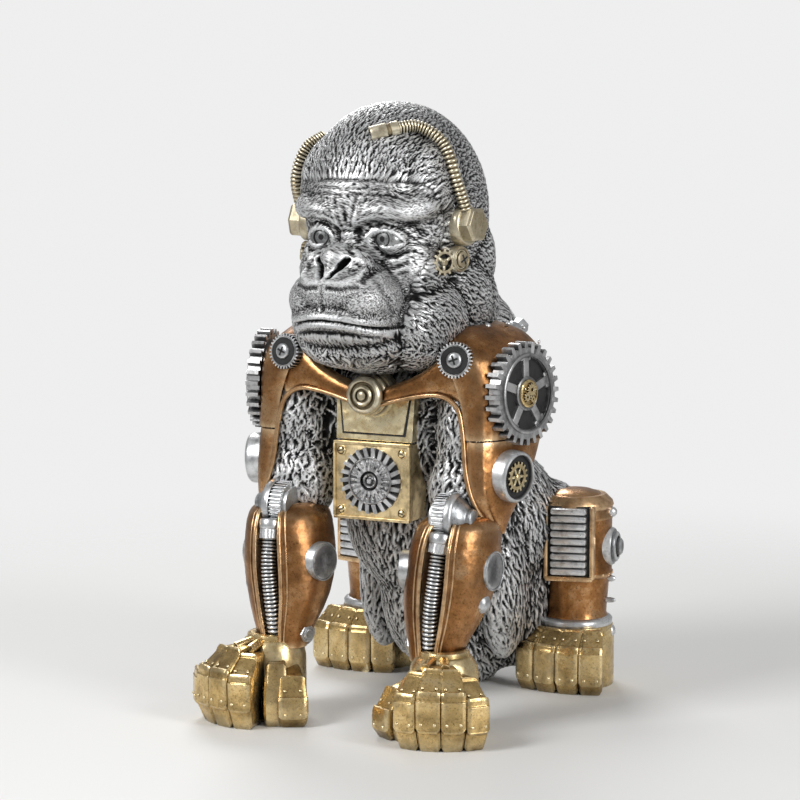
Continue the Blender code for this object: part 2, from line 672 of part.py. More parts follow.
def add_legs(casting):
    """Copper shin drums with a ribbed silver pad in front, on gold feet with plated toes."""
    upright = Matrix.Translation(SHIN) @ Matrix.Rotation(SHIN_TURN, 4, "Z")
    r, low, top = SHIN_RADIUS, SHIN_LOW, SHIN_TOP
    profile = [(r * 0.95, 0), (r * 1.08, low - 2 * MM), (r * 1.08, low + 3 * MM)]
    profile += [(r * 0.88, low + 5 * MM), (r * 0.97, low + 26 * MM), (r * 1.03, low + 27 * MM)]
    profile += [(r * 1.03, top - 16 * MM), (r * 0.9, top - 6 * MM)]
    profile += [(r * 0.6, top - 1 * MM), (r * 0.2, top)]
    casting.add("shin", turned(profile, upright, 16))
    pad_low, pad_high = low + 30 * MM, low + 68 * MM
    half = 8 * MM
    wide = (-half - 4 * MM, half + 4 * MM)
    tall = (pad_low - 4 * MM, pad_high + 1 * MM)
    casting.add("knee_frame", box_rings(upright, wide, (-r - 2 * MM, 0), tall))
    ribs = 7
    step = (pad_high - pad_low) / ribs
    for k in range(ribs):
        z = pad_low + (k + 0.5) * step
        rib = (z - step * 0.3, z + step * 0.3)
        casting.add("pad_rib", box_rings(upright, (-half, half), (-r - 4.5 * MM, -r), rib))
    out = turned_out(100)
    hub = frame_at(SHIN + out * r * 0.9 + Vector((0, 0, KNEE_HUB_HEIGHT)), out)
    profile = [(10 * MM, -5 * MM), (10 * MM, 4 * MM), (8 * MM, 6 * MM)]
    profile += [(4.4 * MM, 6 * MM), (4.4 * MM, 8.6 * MM)]
    casting.add("knee_hub", turned(profile, hub, 12))
    for z, head in ((96, 3 * MM), (30, 3.6 * MM)):
        bolt = frame_at(SHIN + out * r * 0.95 + vec(0, 0, z), out)
        profile = [(head, -4 * MM), (head, 4 * MM), (head * 0.5, 5.5 * MM)]
        casting.add("shin_bolt", turned(profile, bolt, 8))
    r = FOOT_RADIUS / MM
    toe = [(26, 0), (26, 33), (r - 13, 34), (r - 10, 33), (r - 9, 34), (r - 2.4, 26)]
    toe += [(r - 1, 26.4), (r, 24), (r, 5), (r - 3.4, 0)]
    for k in range(FINGER_COUNT):
        casting.add("toe", digit(FOOT, TOE_AZIMUTH + k * TOE_FAN, toe, TOE_WIDTH))


def add_head_fittings(casting):
    """Eyeballs, and the headset: an ear bolt on each side with a ribbed hose up from it."""
    ball = []
    for rise in (-20, 10, 35, 58, 80):
        lean = math.radians(rise)
        ball.append((EYE_RADIUS * math.cos(lean), EYE_RADIUS * math.sin(lean)))
    casting.add("eyeball", turned(ball, frame_at(EYE_AT, Vector((0, -1, 0))), 10))
    shared = [(47, -16, 264)]
    left = [(18, -36.5, 307), (27, -28, 307.5), (38.5, -23.5, 298.5), (44.5, -22, 281)]
    right = [(35, -17, 302), (40, -26, 295), (44.5, -27.5, 281)]
    for side, route in ((1, left + shared), (-1, right + shared)):
        knots = [vec(*place) for place in route]
        hose = hose_rings(knots, HOSE_RADIUS * 0.86, HOSE_PITCH, 7)
        casting.add("headset_hose", hose, (side,))
        plug = frame_at(knots[0], knots[0] - knots[1])
        casting.add("connector", turned([(4.4 * MM, -3 * MM), (4.4 * MM, 13 * MM)], plug, 8), (side,))
    ear = frame_at(EAR_BOLT_AT, turned_out(80, 0.06))
    r = EAR_BOLT_RADIUS
    casting.add("ear_washer", turned([(r * 1.1, -4 * MM), (r * 1.1, 6 * MM)], ear, 14))
    casting.add("ear_bolt", turned([(r, 4 * MM), (r, 11 * MM), (r * 0.88, 12.4 * MM)], ear, 6))
    disc = frame_at(vec(40.5, -17, 241), turned_out(78))
    casting.add("ear_disc", turned([(6.6 * MM, -4 * MM), (6.6 * MM, 6 * MM), (4 * MM, 7 * MM)], disc, 12))
    wheel = frame_at(vec(37.5, -27, 240), turned_out(64))
    casting.add("ear_wheel", toothed_disc(wheel, 6.8 * MM, 7, -5 * MM, 4 * MM))


def add_back_bolts(casting):
    """A hexagonal bolt on a washer behind each shoulder."""
    bolt = frame_at(vec(46, 46, 198), Vector((0.25, 0.8, 0.5)))
    casting.add("back_washer", turned([(6.5 * MM, -9 * MM), (6.5 * MM, 2 * MM)], bolt, 10))
    casting.add("back_bolt", turned([(4.6 * MM, 0), (4.6 * MM, 8 * MM)], bolt, 6))


def as_it_stands(body):
    """A copy of the body's mesh with every modifier so far applied."""
    return bpy.data.meshes.new_from_object(body.evaluated_get(bpy.context.evaluated_depsgraph_get()))


def thin_casting(body):
    """Collapses the slivers that the Boolean leaves, down to the face budget."""
    fused = as_it_stands(body)
    fused.calc_loop_triangles()
    thin = body.modifiers.new("thin_casting", "DECIMATE")
    thin.ratio = MOST_FACES / len(fused.loop_triangles)
    thin.use_collapse_triangulate = True
    bpy.data.meshes.remove(fused)


def centre_over_origin(body):
    """Slides the casting front to back, so that its bounding box stands over the origin."""
    fused = as_it_stands(body)
    depth = read_points(fused)[0][:, 1]
    slide = body.modifiers.new("centre", "DISPLACE")
    slide.direction = "Y"
    slide.mid_level = 0
    slide.strength = -(depth.min() + depth.max()) / 2
    bpy.data.meshes.remove(fused)


def cut_at_ground(body):
    """Everything below the table top is cut away, which leaves flat soles."""
    mesh = bmesh.new()
    block = Matrix.Diagonal((4 * HEIGHT, 4 * HEIGHT, HEIGHT, 1))
    below = Matrix.Translation((0, 0, -HEIGHT / 2)) @ block
    bmesh.ops.create_cube(mesh, size=1, matrix=below)
    table = object_from("table_top", mesh)
    table.hide_render = True
    table.display_type = "WIRE"
    cut = body.modifiers.new("flat_soles", "BOOLEAN")
    cut.operation = "DIFFERENCE"
    cut.solver = "EXACT"
    cut.object = table


def main():
    clear_scene()
    body = gorilla_body()
    body.data.materials.append(material("antique_silver", (0.42, 0.43, 0.44), 0.4, 0.8))
    casting = Casting()
    add_pauldrons(casting)
    add_straps(casting)
    add_shoulder_clockwork(casting)
    add_chest(casting)
    add_forearms(casting)
    add_fists(casting)
    add_legs(casting)
    add_head_fittings(casting)
    add_back_bolts(casting)
    fuse = body.modifiers.new("fuse_armour", "BOOLEAN")
    fuse.operation = "UNION"
    fuse.solver = "EXACT"
    fuse.operand_type = "COLLECTION"
    fuse.collection = casting.parts
    thin_casting(body)
    cut_at_ground(body)
    centre_over_origin(body)


main()
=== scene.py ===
# %% [markdown]
# # A gorilla in clockwork armour
#
# The real ornament is one resin casting, painted antique silver with copper and gold
# armour. Its solid already exists as a fixed frame. Here every visible surface is made
# again at full detail over that frame: combed fur, a wrinkled face, rolled copper plates,
# toothed gears, ribbed hoses and riveted gold fists.

import math

import bmesh
import bpy
import numpy as np
from mathutils import Matrix, Vector, kdtree, noise


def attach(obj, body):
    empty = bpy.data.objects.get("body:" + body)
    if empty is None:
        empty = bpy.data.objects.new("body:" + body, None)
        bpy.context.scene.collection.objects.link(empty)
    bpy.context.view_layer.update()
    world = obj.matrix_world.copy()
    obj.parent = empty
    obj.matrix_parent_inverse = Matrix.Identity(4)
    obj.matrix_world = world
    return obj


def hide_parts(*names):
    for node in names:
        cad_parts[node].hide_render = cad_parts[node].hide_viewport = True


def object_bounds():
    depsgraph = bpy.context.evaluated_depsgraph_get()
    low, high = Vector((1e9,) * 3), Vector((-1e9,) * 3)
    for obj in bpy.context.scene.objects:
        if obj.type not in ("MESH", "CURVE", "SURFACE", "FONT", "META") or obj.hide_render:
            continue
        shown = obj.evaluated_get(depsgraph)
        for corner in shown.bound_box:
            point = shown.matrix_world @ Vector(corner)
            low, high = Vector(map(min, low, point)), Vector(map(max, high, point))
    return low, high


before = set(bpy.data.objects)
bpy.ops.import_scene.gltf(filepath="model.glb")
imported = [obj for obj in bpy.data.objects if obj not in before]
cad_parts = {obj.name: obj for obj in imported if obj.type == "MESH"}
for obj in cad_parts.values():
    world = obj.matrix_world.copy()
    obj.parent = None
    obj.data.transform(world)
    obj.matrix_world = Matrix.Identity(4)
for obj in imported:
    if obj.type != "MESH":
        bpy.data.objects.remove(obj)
cad_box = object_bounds()
print("frame from", tuple(cad_box[0]), "to", tuple(cad_box[1]))

# %% [markdown]
# All the numbers below are millimetres, measured on the gorilla: x to its left, y towards
# its back, z up from the table. The frame stands centred over its own origin, so one
# slide along y brings a drawn piece to its place. The slide is found from the knuckles,
# which are the foremost point of both.

# %% from drawing millimetres to the frame
MM = 0.001
FIST_FRONT = -88.5
SLIDE = cad_box[0].y / MM - FIST_FRONT
NODE = "gorilla_figurine"
print("slide along y", round(SLIDE, 2), "mm")


def show(name, data, paint):
    """Puts a finished mesh in the scene, painted, riding on the casting."""
    piece = bpy.data.objects.new(name, data)
    bpy.context.scene.collection.objects.link(piece)
    data.materials.append(paint)
    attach(piece, "root")
    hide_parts(NODE)
    return piece


def finish(name, shape, paint, bevel=0.0, sharp=38, levels=0):
    """Turns a shape drawn in millimetres into a painted piece of the frame."""
    bmesh.ops.remove_doubles(shape, verts=shape.verts, dist=0.001)
    bmesh.ops.recalc_face_normals(shape, faces=shape.faces)
    bmesh.ops.translate(shape, verts=shape.verts, vec=(0, SLIDE, 0))
    bmesh.ops.scale(shape, verts=shape.verts, vec=(MM, MM, MM))
    data = bpy.data.meshes.new(name)
    shape.to_mesh(data)
    shape.free()
    data.shade_smooth()
    if not bevel:
        data.set_sharp_from_angle(angle=math.radians(sharp))
    piece = show(name, data, paint)
    if bevel:
        round_off = piece.modifiers.new("rounded_edges", "BEVEL")
        round_off.width = bevel * MM
        round_off.segments = 2
        round_off.limit_method = "ANGLE"
        round_off.angle_limit = math.radians(sharp)
        round_off.harden_normals = True
    if levels:
        soft = piece.modifiers.new("soft_form", "SUBSURF")
        soft.levels = soft.render_levels = levels
    print(name, len(data.polygons), "faces")
    return piece


# %% [markdown]
# ## Paint
#
# Every surface is the same resin under metallic paint, so one recipe with different
# colours serves all of them. The paint is darker in the recesses and lighter on the
# edges. This is partly the real dark wax and rubbed bare metal of old paint, and partly
# painted shade in the recesses and painted highlights on the edges. Ambient Occlusion
# finds the recesses and Pointiness finds the edges, so both follow the shape of each piece.

# %% a small helper for shader nodes
def node(tree, kind, settings=(), inputs=()):
    """Adds a shader node, sets its options and its sockets, and joins what is a socket."""
    made = tree.nodes.new(kind)
    for key, value in dict(settings).items():
        setattr(made, key, value)
    for key, value in dict(inputs).items():
        if isinstance(value, bpy.types.NodeSocket):
            tree.links.new(value, made.inputs[key])
        else:
            made.inputs[key].default_value = value
    return made


def ramp(tree, source, stops):
    """A colour ramp from (place, colour) stops; a plain number makes a grey."""
    made = node(tree, "ShaderNodeValToRGB", inputs={"Fac": source})
    while len(made.color_ramp.elements) < len(stops):
        made.color_ramp.elements.new(0.5)
    for element, (place, colour) in zip(made.color_ramp.elements, stops):
        element.position = place
        element.color = (*colour, 1) if isinstance(colour, tuple) else (colour, colour, colour, 1)
    return made.outputs["Color"]


def mixed(tree, share, first, second, blend="MIX"):
    """One colour over another."""
    made = tree.nodes.new("ShaderNodeMix")
    made.data_type = "RGBA"
    made.blend_type = blend
    for place, value in ((0, share), (6, first), (7, second)):
        if isinstance(value, bpy.types.NodeSocket):
            tree.links.new(value, made.inputs[place])
        elif place == 0:
            made.inputs[0].default_value = value
        else:
            made.inputs[place].default_value = (*value, 1)
    return made.outputs[2]


def mottled(tree, place, scale, detail=6.0, rough=0.6):
    """A cloudy pattern from object coordinates."""
    made = node(
        tree,
        "ShaderNodeTexNoise",
        inputs={"Vector": place, "Scale": scale, "Detail": detail, "Roughness": rough},
    )
    return made.outputs["Fac"]


# %% the paint of plates, gears and fittings
def old_metal_with_painted_light(name, bright, base, wax_and_shade, roughness=0.36, metallic=0.85, reach=4.0, pits=0.06, dents=0.0):
    """Metallic paint: bright on edges as rubbed wear and painted highlight, dark in recesses as wax and
    painted shade, cloudy and streaked between.
    """
    made = bpy.data.materials.new(name)
    made.use_nodes = True
    tree = made.node_tree
    shader = tree.nodes["Principled BSDF"]
    place = node(tree, "ShaderNodeTexCoord").outputs["Object"]
    cloud = mottled(tree, place, 48, 7, 0.65)
    grain = mottled(tree, place, 900, 4, 0.7)
    deep = tuple(0.35 * c + 0.65 * s for c, s in zip(base, wax_and_shade))
    pale = tuple(0.55 * c + 0.45 * b for c, b in zip(base, bright))
    colour = mixed(tree, ramp(tree, cloud, ((0.36, 0.0), (0.56, 1.0))), deep, base)
    colour = mixed(tree, ramp(tree, cloud, ((0.54, 0.0), (0.72, 1.0))), colour, pale)
    # painted shade: Ambient Occlusion darkens the recesses, partly as real dark wax and partly as
    # painted shade
    recess_shade = node(tree, "ShaderNodeAmbientOcclusion", {"samples": 8}, {"Distance": reach * MM})
    free_of_wax_and_shade = ramp(tree, recess_shade.outputs["AO"], ((0.25, 0.0), (0.82, 1.0)))
    speck = ramp(tree, grain, ((0.32, 0.30), (0.47, 1.0)))
    free_of_wax_and_shade = mixed(tree, 1.0, free_of_wax_and_shade, speck, "MULTIPLY")
    colour = mixed(tree, free_of_wax_and_shade, wax_and_shade, colour)
    # painted highlight: Pointiness lightens the edges to the bright colour, partly as rubbed metal and
    # partly as painted highlight
    point = node(tree, "ShaderNodeNewGeometry").outputs["Pointiness"]
    edge = ramp(tree, point, ((0.515, 0.0), (0.58, 1.0)))
    patchy = ramp(tree, mottled(tree, place, 220), ((0.32, 0.3), (0.55, 1.0)))
    rubbed_and_highlit = mixed(tree, 1.0, edge, patchy, "MULTIPLY")
    colour = mixed(tree, rubbed_and_highlit, colour, bright)
    tree.links.new(colour, shader.inputs["Base Color"])
    gloss = {"From Min": 0.3, "From Max": 0.7, "To Min": roughness + 0.12, "To Max": roughness - 0.06}
    shine = node(tree, "ShaderNodeMapRange", inputs={"Value": cloud, **gloss})
    tree.links.new(shine.outputs["Result"], shader.inputs["Roughness"])
    shader.inputs["Metallic"].default_value = metallic
    dent = node(tree, "ShaderNodeBump", inputs={"Height": mottled(tree, place, 420, 5, 0.65)})
    dent.inputs["Strength"].default_value = 0.35
    dent.inputs["Distance"].default_value = pits * MM
    waves = mottled(tree, place, 120, 2, 0.5)
    uneven = node(tree, "ShaderNodeBump", inputs={"Height": waves, "Normal": dent.outputs["Normal"]})
    uneven.inputs["Strength"].default_value = 1.0
    uneven.inputs["Distance"].default_value = dents * MM
    tree.links.new(uneven.outputs["Normal"], shader.inputs["Normal"])
    return made


# colours: bright for rubbed edges and painted highlights, base, then dark for wax and painted shade in
# recesses
COPPER = old_metal_with_painted_light(
    "aged_copper_paint_with_painted_light", (0.95, 0.68, 0.40), (0.40, 0.185, 0.065), (0.05, 0.019, 0.007), 0.28, 0.95,
    5.0, 0.06, 0.5
)
GOLD = old_metal_with_painted_light(
    "aged_gold_paint_with_painted_light", (1.0, 0.88, 0.58), (0.74, 0.52, 0.22), (0.07, 0.04, 0.014), 0.25, 0.95, 6.0,
    0.06, 0.7
)
BRONZE = old_metal_with_painted_light(
    "old_gold_bronze_paint", (0.95, 0.76, 0.44), (0.36, 0.25, 0.105), (0.045, 0.028, 0.012), 0.30,
    0.9, 5.0, 0.06, 0.4
)
SILVER = old_metal_with_painted_light(
    "bright_silver_paint", (0.90, 0.91, 0.92), (0.40, 0.41, 0.42), (0.018, 0.018, 0.019), 0.3
)
STEEL = old_metal_with_painted_light(
    "worn_steel_paint_with_painted_light", (0.80, 0.80, 0.80), (0.24, 0.24, 0.245), (0.012, 0.012, 0.012), 0.32
)
DARK = old_metal_with_painted_light(
    "dark_steel_paint", (0.66, 0.66, 0.66), (0.13, 0.13, 0.135), (0.010, 0.010, 0.010), 0.36
)
BRASS = old_metal_with_painted_light(
    "pale_gold_brass_paint", (0.92, 0.85, 0.66), (0.42, 0.34, 0.21), (0.05, 0.035, 0.02), 0.32
)
BLACK = old_metal_with_painted_light(
    "black_paint", (0.02, 0.02, 0.02), (0.004, 0.004, 0.004), (0.001, 0.001, 0.001), 0.75, 0.0
)


# %% [markdown]
# The fur and the skin are silver too, but there the dark wash in the grooves, the painted
# shade in the hollows and the painted highlight on raised parts have to follow every
# single hair, and a hair is finer than a recess that Ambient Occlusion sees cheaply. So
# the mesh itself carries numbers for each point. "relief" says how far the point stands
# above or below the skin around it. The paint turns it into tone: black in the grooves,
# partly dark wash and partly painted shade, and light on the raised hairs and bulges as a
# painted highlight. "bare" says whether it is skin or fur, and "strand" says where in
# its tuft the point lies, in millimetres across and along. Noise that is stretched along
# the tuft draws the hairs. Bare skin is a little duller than fur.

# %% the paint of fur and skin
# hairs per millimetre across a tuft, along it, and from tuft to tuft
HAIR_STRETCH = (1.35, 0.12, 1.0)


def carved_silver(name):
    """Antique silver, light on raised hairs as a painted highlight and black between them as dark wash
    and painted shade.
    """
    made = bpy.data.materials.new(name)
    made.use_nodes = True
    tree = made.node_tree
    shader = tree.nodes["Principled BSDF"]
    place = node(tree, "ShaderNodeTexCoord").outputs["Object"]
    relief = node(tree, "ShaderNodeAttribute", {"attribute_name": "relief"}).outputs["Fac"]
    bare = node(tree, "ShaderNodeAttribute", {"attribute_name": "bare"}).outputs["Fac"]
    strand = node(tree, "ShaderNodeAttribute", {"attribute_name": "strand"}).outputs["Vector"]
    stretch = {0: strand, 1: HAIR_STRETCH}
    drawn = node(tree, "ShaderNodeVectorMath", {"operation": "MULTIPLY"}, stretch).outputs[0]
    hairs = mottled(tree, drawn, 1.0, 2, 0.5)
    cloud = mottled(tree, place, 45)
    strength = node(
        tree,
        "ShaderNodeMapRange",
        inputs={"Value": bare, "From Min": 0.0, "From Max": 1.0, "To Min": 1.05, "To Max": 1.35},
    ).outputs["Result"]
    centred = node(tree, "ShaderNodeMath", {"operation": "SUBTRACT"}, {0: hairs, 1: 0.5}).outputs[0]
    shifted = node(
        tree,
        "ShaderNodeMath",
        {"operation": "MULTIPLY_ADD"},
        {0: centred, 1: strength, 2: relief},
    ).outputs[0]
    # tone from relief: painted shade with dark wash in the grooves, painted highlight on raised hairs
    # and bulges
    wash_shade_and_highlight_tone = ramp(
        tree,
        shifted,
        ((0.18, 0.004), (0.36, 0.030), (0.50, 0.20), (0.66, 0.58), (0.84, (0.93, 0.94, 0.95))),
    )
    dim = ramp(tree, cloud, ((0.35, 0.72), (0.65, 1.0)))
    tree.links.new(mixed(tree, 1.0, wash_shade_and_highlight_tone, dim, "MULTIPLY"), shader.inputs["Base Color"])
    shine = node(
        tree,
        "ShaderNodeMapRange",
        inputs={"Value": shifted, "From Min": 0.3, "From Max": 0.9, "To Min": 0.54, "To Max": 0.32},
    )
    leather = node(
        tree,
        "ShaderNodeMath",
        {"operation": "MULTIPLY_ADD", "use_clamp": True},
        {0: bare, 1: 0.12, 2: shine.outputs["Result"]},
    )
    tree.links.new(leather.outputs[0], shader.inputs["Roughness"])
    shader.inputs["Metallic"].default_value = 0.8
    dent = node(tree, "ShaderNodeBump", inputs={"Height": hairs})
    dent.inputs["Strength"].default_value = 0.8
    dent.inputs["Distance"].default_value = 0.35 * MM
    tree.links.new(dent.outputs["Normal"], shader.inputs["Normal"])
    return made


FUR = carved_silver("antique_silver_fur")

# %% [markdown]
# ## The body under the fur
#
# A sculptor would block the gorilla out in lumps of clay and blend them. Here the lumps
# are ellipsoids, and a voxel Remesh melts them into one even skin, which a Smooth
# modifier softens. The same lumps shaped the frame, so the two agree, and the last few
# fill the creases between the others on the back and the neck. The head gets a finer
# skin than the body, because its hair and wrinkles are finer.

# %% lumps of the head, on the middle or on its left side
HEAD_LUMPS = (
    # centre, then the three half sizes
    ((0, 0, 263), (45, 57, 57)),
    ((0, -7, 272), (42, 53, 48)),
    ((23, -17, 277), (20, 28, 28)),
    ((0, 26, 213), (43, 36, 38)),
    ((0, -34, 268), (40, 24, 14)),
    ((15, -45, 265), (18, 13, 8)),
    ((18, -44.5, 252.5), (9.9, 9.5, 9.2)),
    ((0, -28, 250), (36, 23, 28)),
    ((23, -27, 234), (16, 23, 25)),
    ((0, -49, 254), (7, 9, 18)),
    ((0, -66, 243), (9, 11, 8)),
    ((10, -63, 239.5), (7.5, 10, 7.5)),
    ((0, -58, 227), (26, 27, 16)),
    ((13, -56, 222), (16, 25, 15)),
    ((0, -57, 213.5), (28, 28, 12)),
    ((0, -54, 207), (27, 27, 11)),
    ((0, -46, 199), (27, 27, 13)),
    ((22, -20, 209), (24, 33, 26)),
    ((0, -22, 199), (30, 34, 18)),
    ((0, 8, 217), (47, 42, 42)),
    ((0, 20, 238), (43.5, 37.5, 40)),
)
BODY_LUMPS = (
    ((0, 46, 195), (46, 34, 32)),
    ((0, 44, 172), (46, 38, 34)),
    ((0, 12, 152), (46, 38, 46)),
    ((44, 6, 178), (26, 32, 26)),
    ((0, 32, 182), (50, 38, 34)),
    ((0, 42, 122), (46, 46, 66)),
    ((0, 22, 102), (38, 36, 44)),
    ((0, 34, 64), (22, 32, 46)),
    ((0, 76, 46), (38, 36, 50)),
    ((32, 78, 90), (22, 32, 38)),
    ((46, 98, 76), (20, 22, 36)),
    ((0, 70, 92), (40, 38, 44)),
    ((30, 86, 58), (22, 28, 50)),
    ((36, 56, 62), (12, 20, 44)),
    ((50, -10, 150), (19, 22, 46)),
    ((48, -18, 122), (19, 19, 24)),
    ((0, 43, 160), (46.5, 39.5, 60)),
    ((0, 46, 196), (40, 33, 40)),
    ((0, 74, 62), (47, 37, 56)),
    ((0, 62, 100), (40, 36, 52)),
)
HEAD_VOXEL, HEAD_SOFTENING = 0.67, 36
BODY_VOXEL, BODY_SOFTENING = 0.95, 150


# %% melt the lumps together
def melted(lumps, voxel, rounds):
    """Ellipsoids fused by a voxel remesh and smoothed, still in drawing millimetres."""
    clay = bmesh.new()
    for centre, radii in lumps:
        for side in (1, -1) if centre[0] else (1,):
            place = Matrix.Translation((side * centre[0], centre[1], centre[2]))
            size = Matrix.Diagonal((*radii, 1))
            bmesh.ops.create_icosphere(clay, subdivisions=5, radius=1, matrix=place @ size)
    data = bpy.data.meshes.new("clay")
    clay.to_mesh(data)
    clay.free()
    rough = bpy.data.objects.new("clay", data)
    bpy.context.scene.collection.objects.link(rough)
    fuse = rough.modifiers.new("fuse", "REMESH")
    fuse.mode = "VOXEL"
    fuse.voxel_size = voxel
    soften = rough.modifiers.new("soften", "SMOOTH")
    soften.factor = 0.5
    soften.iterations = rounds
    skin = bpy.data.meshes.new_from_object(rough.evaluated_get(bpy.context.evaluated_depsgraph_get()))
    bpy.data.objects.remove(rough)
    return skin


head_skin = melted(HEAD_LUMPS, HEAD_VOXEL, HEAD_SOFTENING)
body_skin = melted(BODY_LUMPS, BODY_VOXEL, BODY_SOFTENING)
print("head", len(head_skin.polygons), "body", len(body_skin.polygons), "faces")


# %% read and move the points of a skin
def read_points(skin):
    """The points and their normals, as arrays."""
    points = np.empty(len(skin.vertices) * 3, np.float32)
    normals = np.empty(len(skin.vertices) * 3, np.float32)
    skin.vertices.foreach_get("co", points)
    skin.vertices.foreach_get("normal", normals)
    return points.reshape(-1, 3).astype(float), normals.reshape(-1, 3).astype(float)


def write_points(skin, points):
    """Moves the skin's points to new places."""
    skin.vertices.foreach_set("co", points.astype(np.float32).ravel())
    skin.update()


def eased(value):
    """A smooth step from 0 to 1."""
    value = np.clip(value, 0, 1)
    return value * value * (3 - 2 * value)


# %% [markdown]
# ## The face
#
# The face is carved with strokes, as with a loop tool in clay. A stroke is a path seen
# from the front, so it only needs x and z: the skin itself says how deep each point
# lies. Near the path the skin is raised or sunk, most in the middle and nothing at the
# stroke's edge. Each stroke is repeated on the other side of the face.

# %% the strokes, from big forms to wrinkles
FACE_STROKES = (
    # path of (x, z), half width, lift
    ([(7, 257), (14, 260.2), (22, 261.4), (29, 259.8), (33, 255.5)], 4.6, -1.3),
    ([(5, 262.5), (12, 266.5), (20, 269.2), (28, 268.8), (35, 264.5)], 7.0, 1.1),
    ([(0, 264), (0, 257)], 5.0, -0.4),
    ([(5.8, 256), (6.4, 250), (9, 246.4)], 3.6, -1.2),
    ([(6, 272), (4.3, 265), (2.6, 258.8)], 2.0, -0.45),
    ([(11, 273), (9.2, 267), (7.2, 261.8)], 1.6, -0.26),
    ([(0, 270), (0, 262)], 1.6, -0.26),
    ([(0, 277.4), (10, 278.2), (22, 277.4), (32, 274)], 1.6, -0.24),
    ([(2, 273.8), (12, 275.2), (22, 274.6), (31, 271.4)], 1.6, -0.26),
    ([(0, 256.6), (4.4, 256.0)], 1.5, -0.35),
    ([(0, 252.8), (4.6, 252.4)], 1.4, -0.30),
    ([(8.4, 254.4), (12.4, 258.4), (19, 260.2), (26, 257.6), (30, 252.6)], 1.6, -0.6),
    ([(9.5, 264), (18, 265.6), (27, 265), (33, 260.5)], 1.8, -0.3),
    ([(8.7, 249), (13, 245.6), (18.4, 243.4), (24, 243.8), (29, 246.6)], 2.0, -0.8),
    ([(11.8, 242), (17, 239.2), (22.5, 238), (29, 240.4)], 2.0, -0.5),
    ([(13, 243.2), (19, 241.2), (26, 241.6)], 2.0, 0.3),
    ([(17, 236), (23, 234.4), (29.5, 236)], 1.8, -0.28),
    ([(30, 252), (35, 254)], 1.4, -0.32),
    ([(30, 250), (35.4, 249)], 1.4, -0.32),
    ([(29.6, 247.6), (34.4, 244.4)], 1.4, -0.32),
    ([(1.9, 234.8), (4.6, 238.6), (8.3, 243.3)], 2.3, -3.4),
    ([(2.3, 235.6), (4.6, 238.6), (8.1, 242.9)], 1.5, -1.6),
    ([(3, 231.8), (10.3, 231.9), (15, 234.4), (16, 239), (13.2, 245), (8.6, 247.6)], 3.2, 1.1),
    ([(0, 232), (0, 241)], 1.8, 0.5),
    ([(18.4, 232.6), (19.4, 239), (17, 245.6), (13, 250)], 3.0, -1.2),
    ([(17, 230.2), (10, 228.6), (3, 229.8)], 2.2, -0.6),
    ([(0, 228.6), (0, 218)], 1.6, -0.3),
    ([(19, 236), (23.5, 231.5), (28, 224), (29, 216), (28, 210)], 4.2, -0.6),
    ([(25, 238.5), (30, 231.5), (33, 222)], 4.0, -0.6),
    ([(0, 213.3), (9.3, 212.3), (19.5, 209.7), (25, 208.5), (29, 208.4)], 1.6, -1.7),
    ([(0, 215.6), (10, 214.8), (20, 212.3), (26, 210.8)], 2.2, 0.35),
    ([(0, 210.8), (9, 209.8), (18, 207.6), (24, 206.5)], 2.4, 0.6),
    ([(0, 207.4), (8.2, 206.7), (17, 204.9), (25, 203.2)], 2.0, -0.4),
    ([(0, 281.4), (17, 282), (29.5, 281.2), (37, 278)], 2.4, -0.2),
)


# %% carve the face
def draped(points, normals, path, side):
    """A front-view path laid on the skin, with a point every half millimetre."""
    spots = []
    for (x0, z0), (x1, z1) in zip(path, path[1:]):
        steps = int(math.hypot(x1 - x0, z1 - z0) / 0.5) + 1
        spots += [(x0 + (x1 - x0) * k / steps, z0 + (z1 - z0) * k / steps) for k in range(steps)]
    spots.append(path[-1])
    facing = points[normals[:, 1] < -0.12]
    laid = []
    for x, z in spots:
        off = np.hypot(facing[:, 0] - side * x, facing[:, 2] - z)
        close = np.flatnonzero(off < 1.4)
        if len(close):
            front = close[facing[close, 1] < facing[close, 1].min() + 4]
            laid.append((side * x, facing[front[off[front].argmin()], 1], z))
    laid = np.array(laid)
    depth = np.pad(laid[:, 1], 3, "edge")
    laid[:, 1] = np.convolve(depth, np.full(7, 1 / 7), "valid")
    return laid


def stroked(points, normals, path, width, lift):
    """Raises or sinks the skin along one stroke, on both sides of the face."""
    reach = np.full(len(points), np.inf)
    for side in (1, -1) if any(x for x, _ in path) else (1,):
        for spot in draped(points, normals, path, side):
            reach = np.minimum(reach, ((points - spot) ** 2).sum(axis=1))
    share = eased(1 - np.sqrt(reach) / width)
    return points + normals * (lift * share)[:, None]


def carve(skin, strokes):
    """Runs every stroke over the part of the head that faces forward."""
    for path, width, lift in strokes:
        points, normals = read_points(skin)
        low, high = min(z for _, z in path) - 8, max(z for _, z in path) + 8
        front = np.flatnonzero((points[:, 1] < -16) & (points[:, 2] > low) & (points[:, 2] < high))
        points[front] = stroked(points[front], normals[front], path, width, lift)
        write_points(skin, points)


carve(head_skin, FACE_STROKES)

# %% [markdown]
# The eyelids are part of the skin, so an eye is opened by pressing the skin inside an
# almond-shaped outline back behind the eyeball. What is left round the outline is the
# rim of the lids, and a separate eyeball fills the hole.

# %% open the eyes
EYE = Vector((18, -44.5, 252.5))
EYE_RADIUS = 8.6
UPPER_LID = (
    (10.2, 252.2), (11.4, 254.0), (14.4, 255.8), (18, 256.5), (21, 256.3), (24.8, 254.4),
    (27.6, 250.8)
)
LOWER_LID = (
    (10.2, 252.2), (12.2, 250.3), (14.4, 249.2), (17.4, 248.5), (21, 248.5), (24.2, 249.3),
    (27.6, 250.8)
)


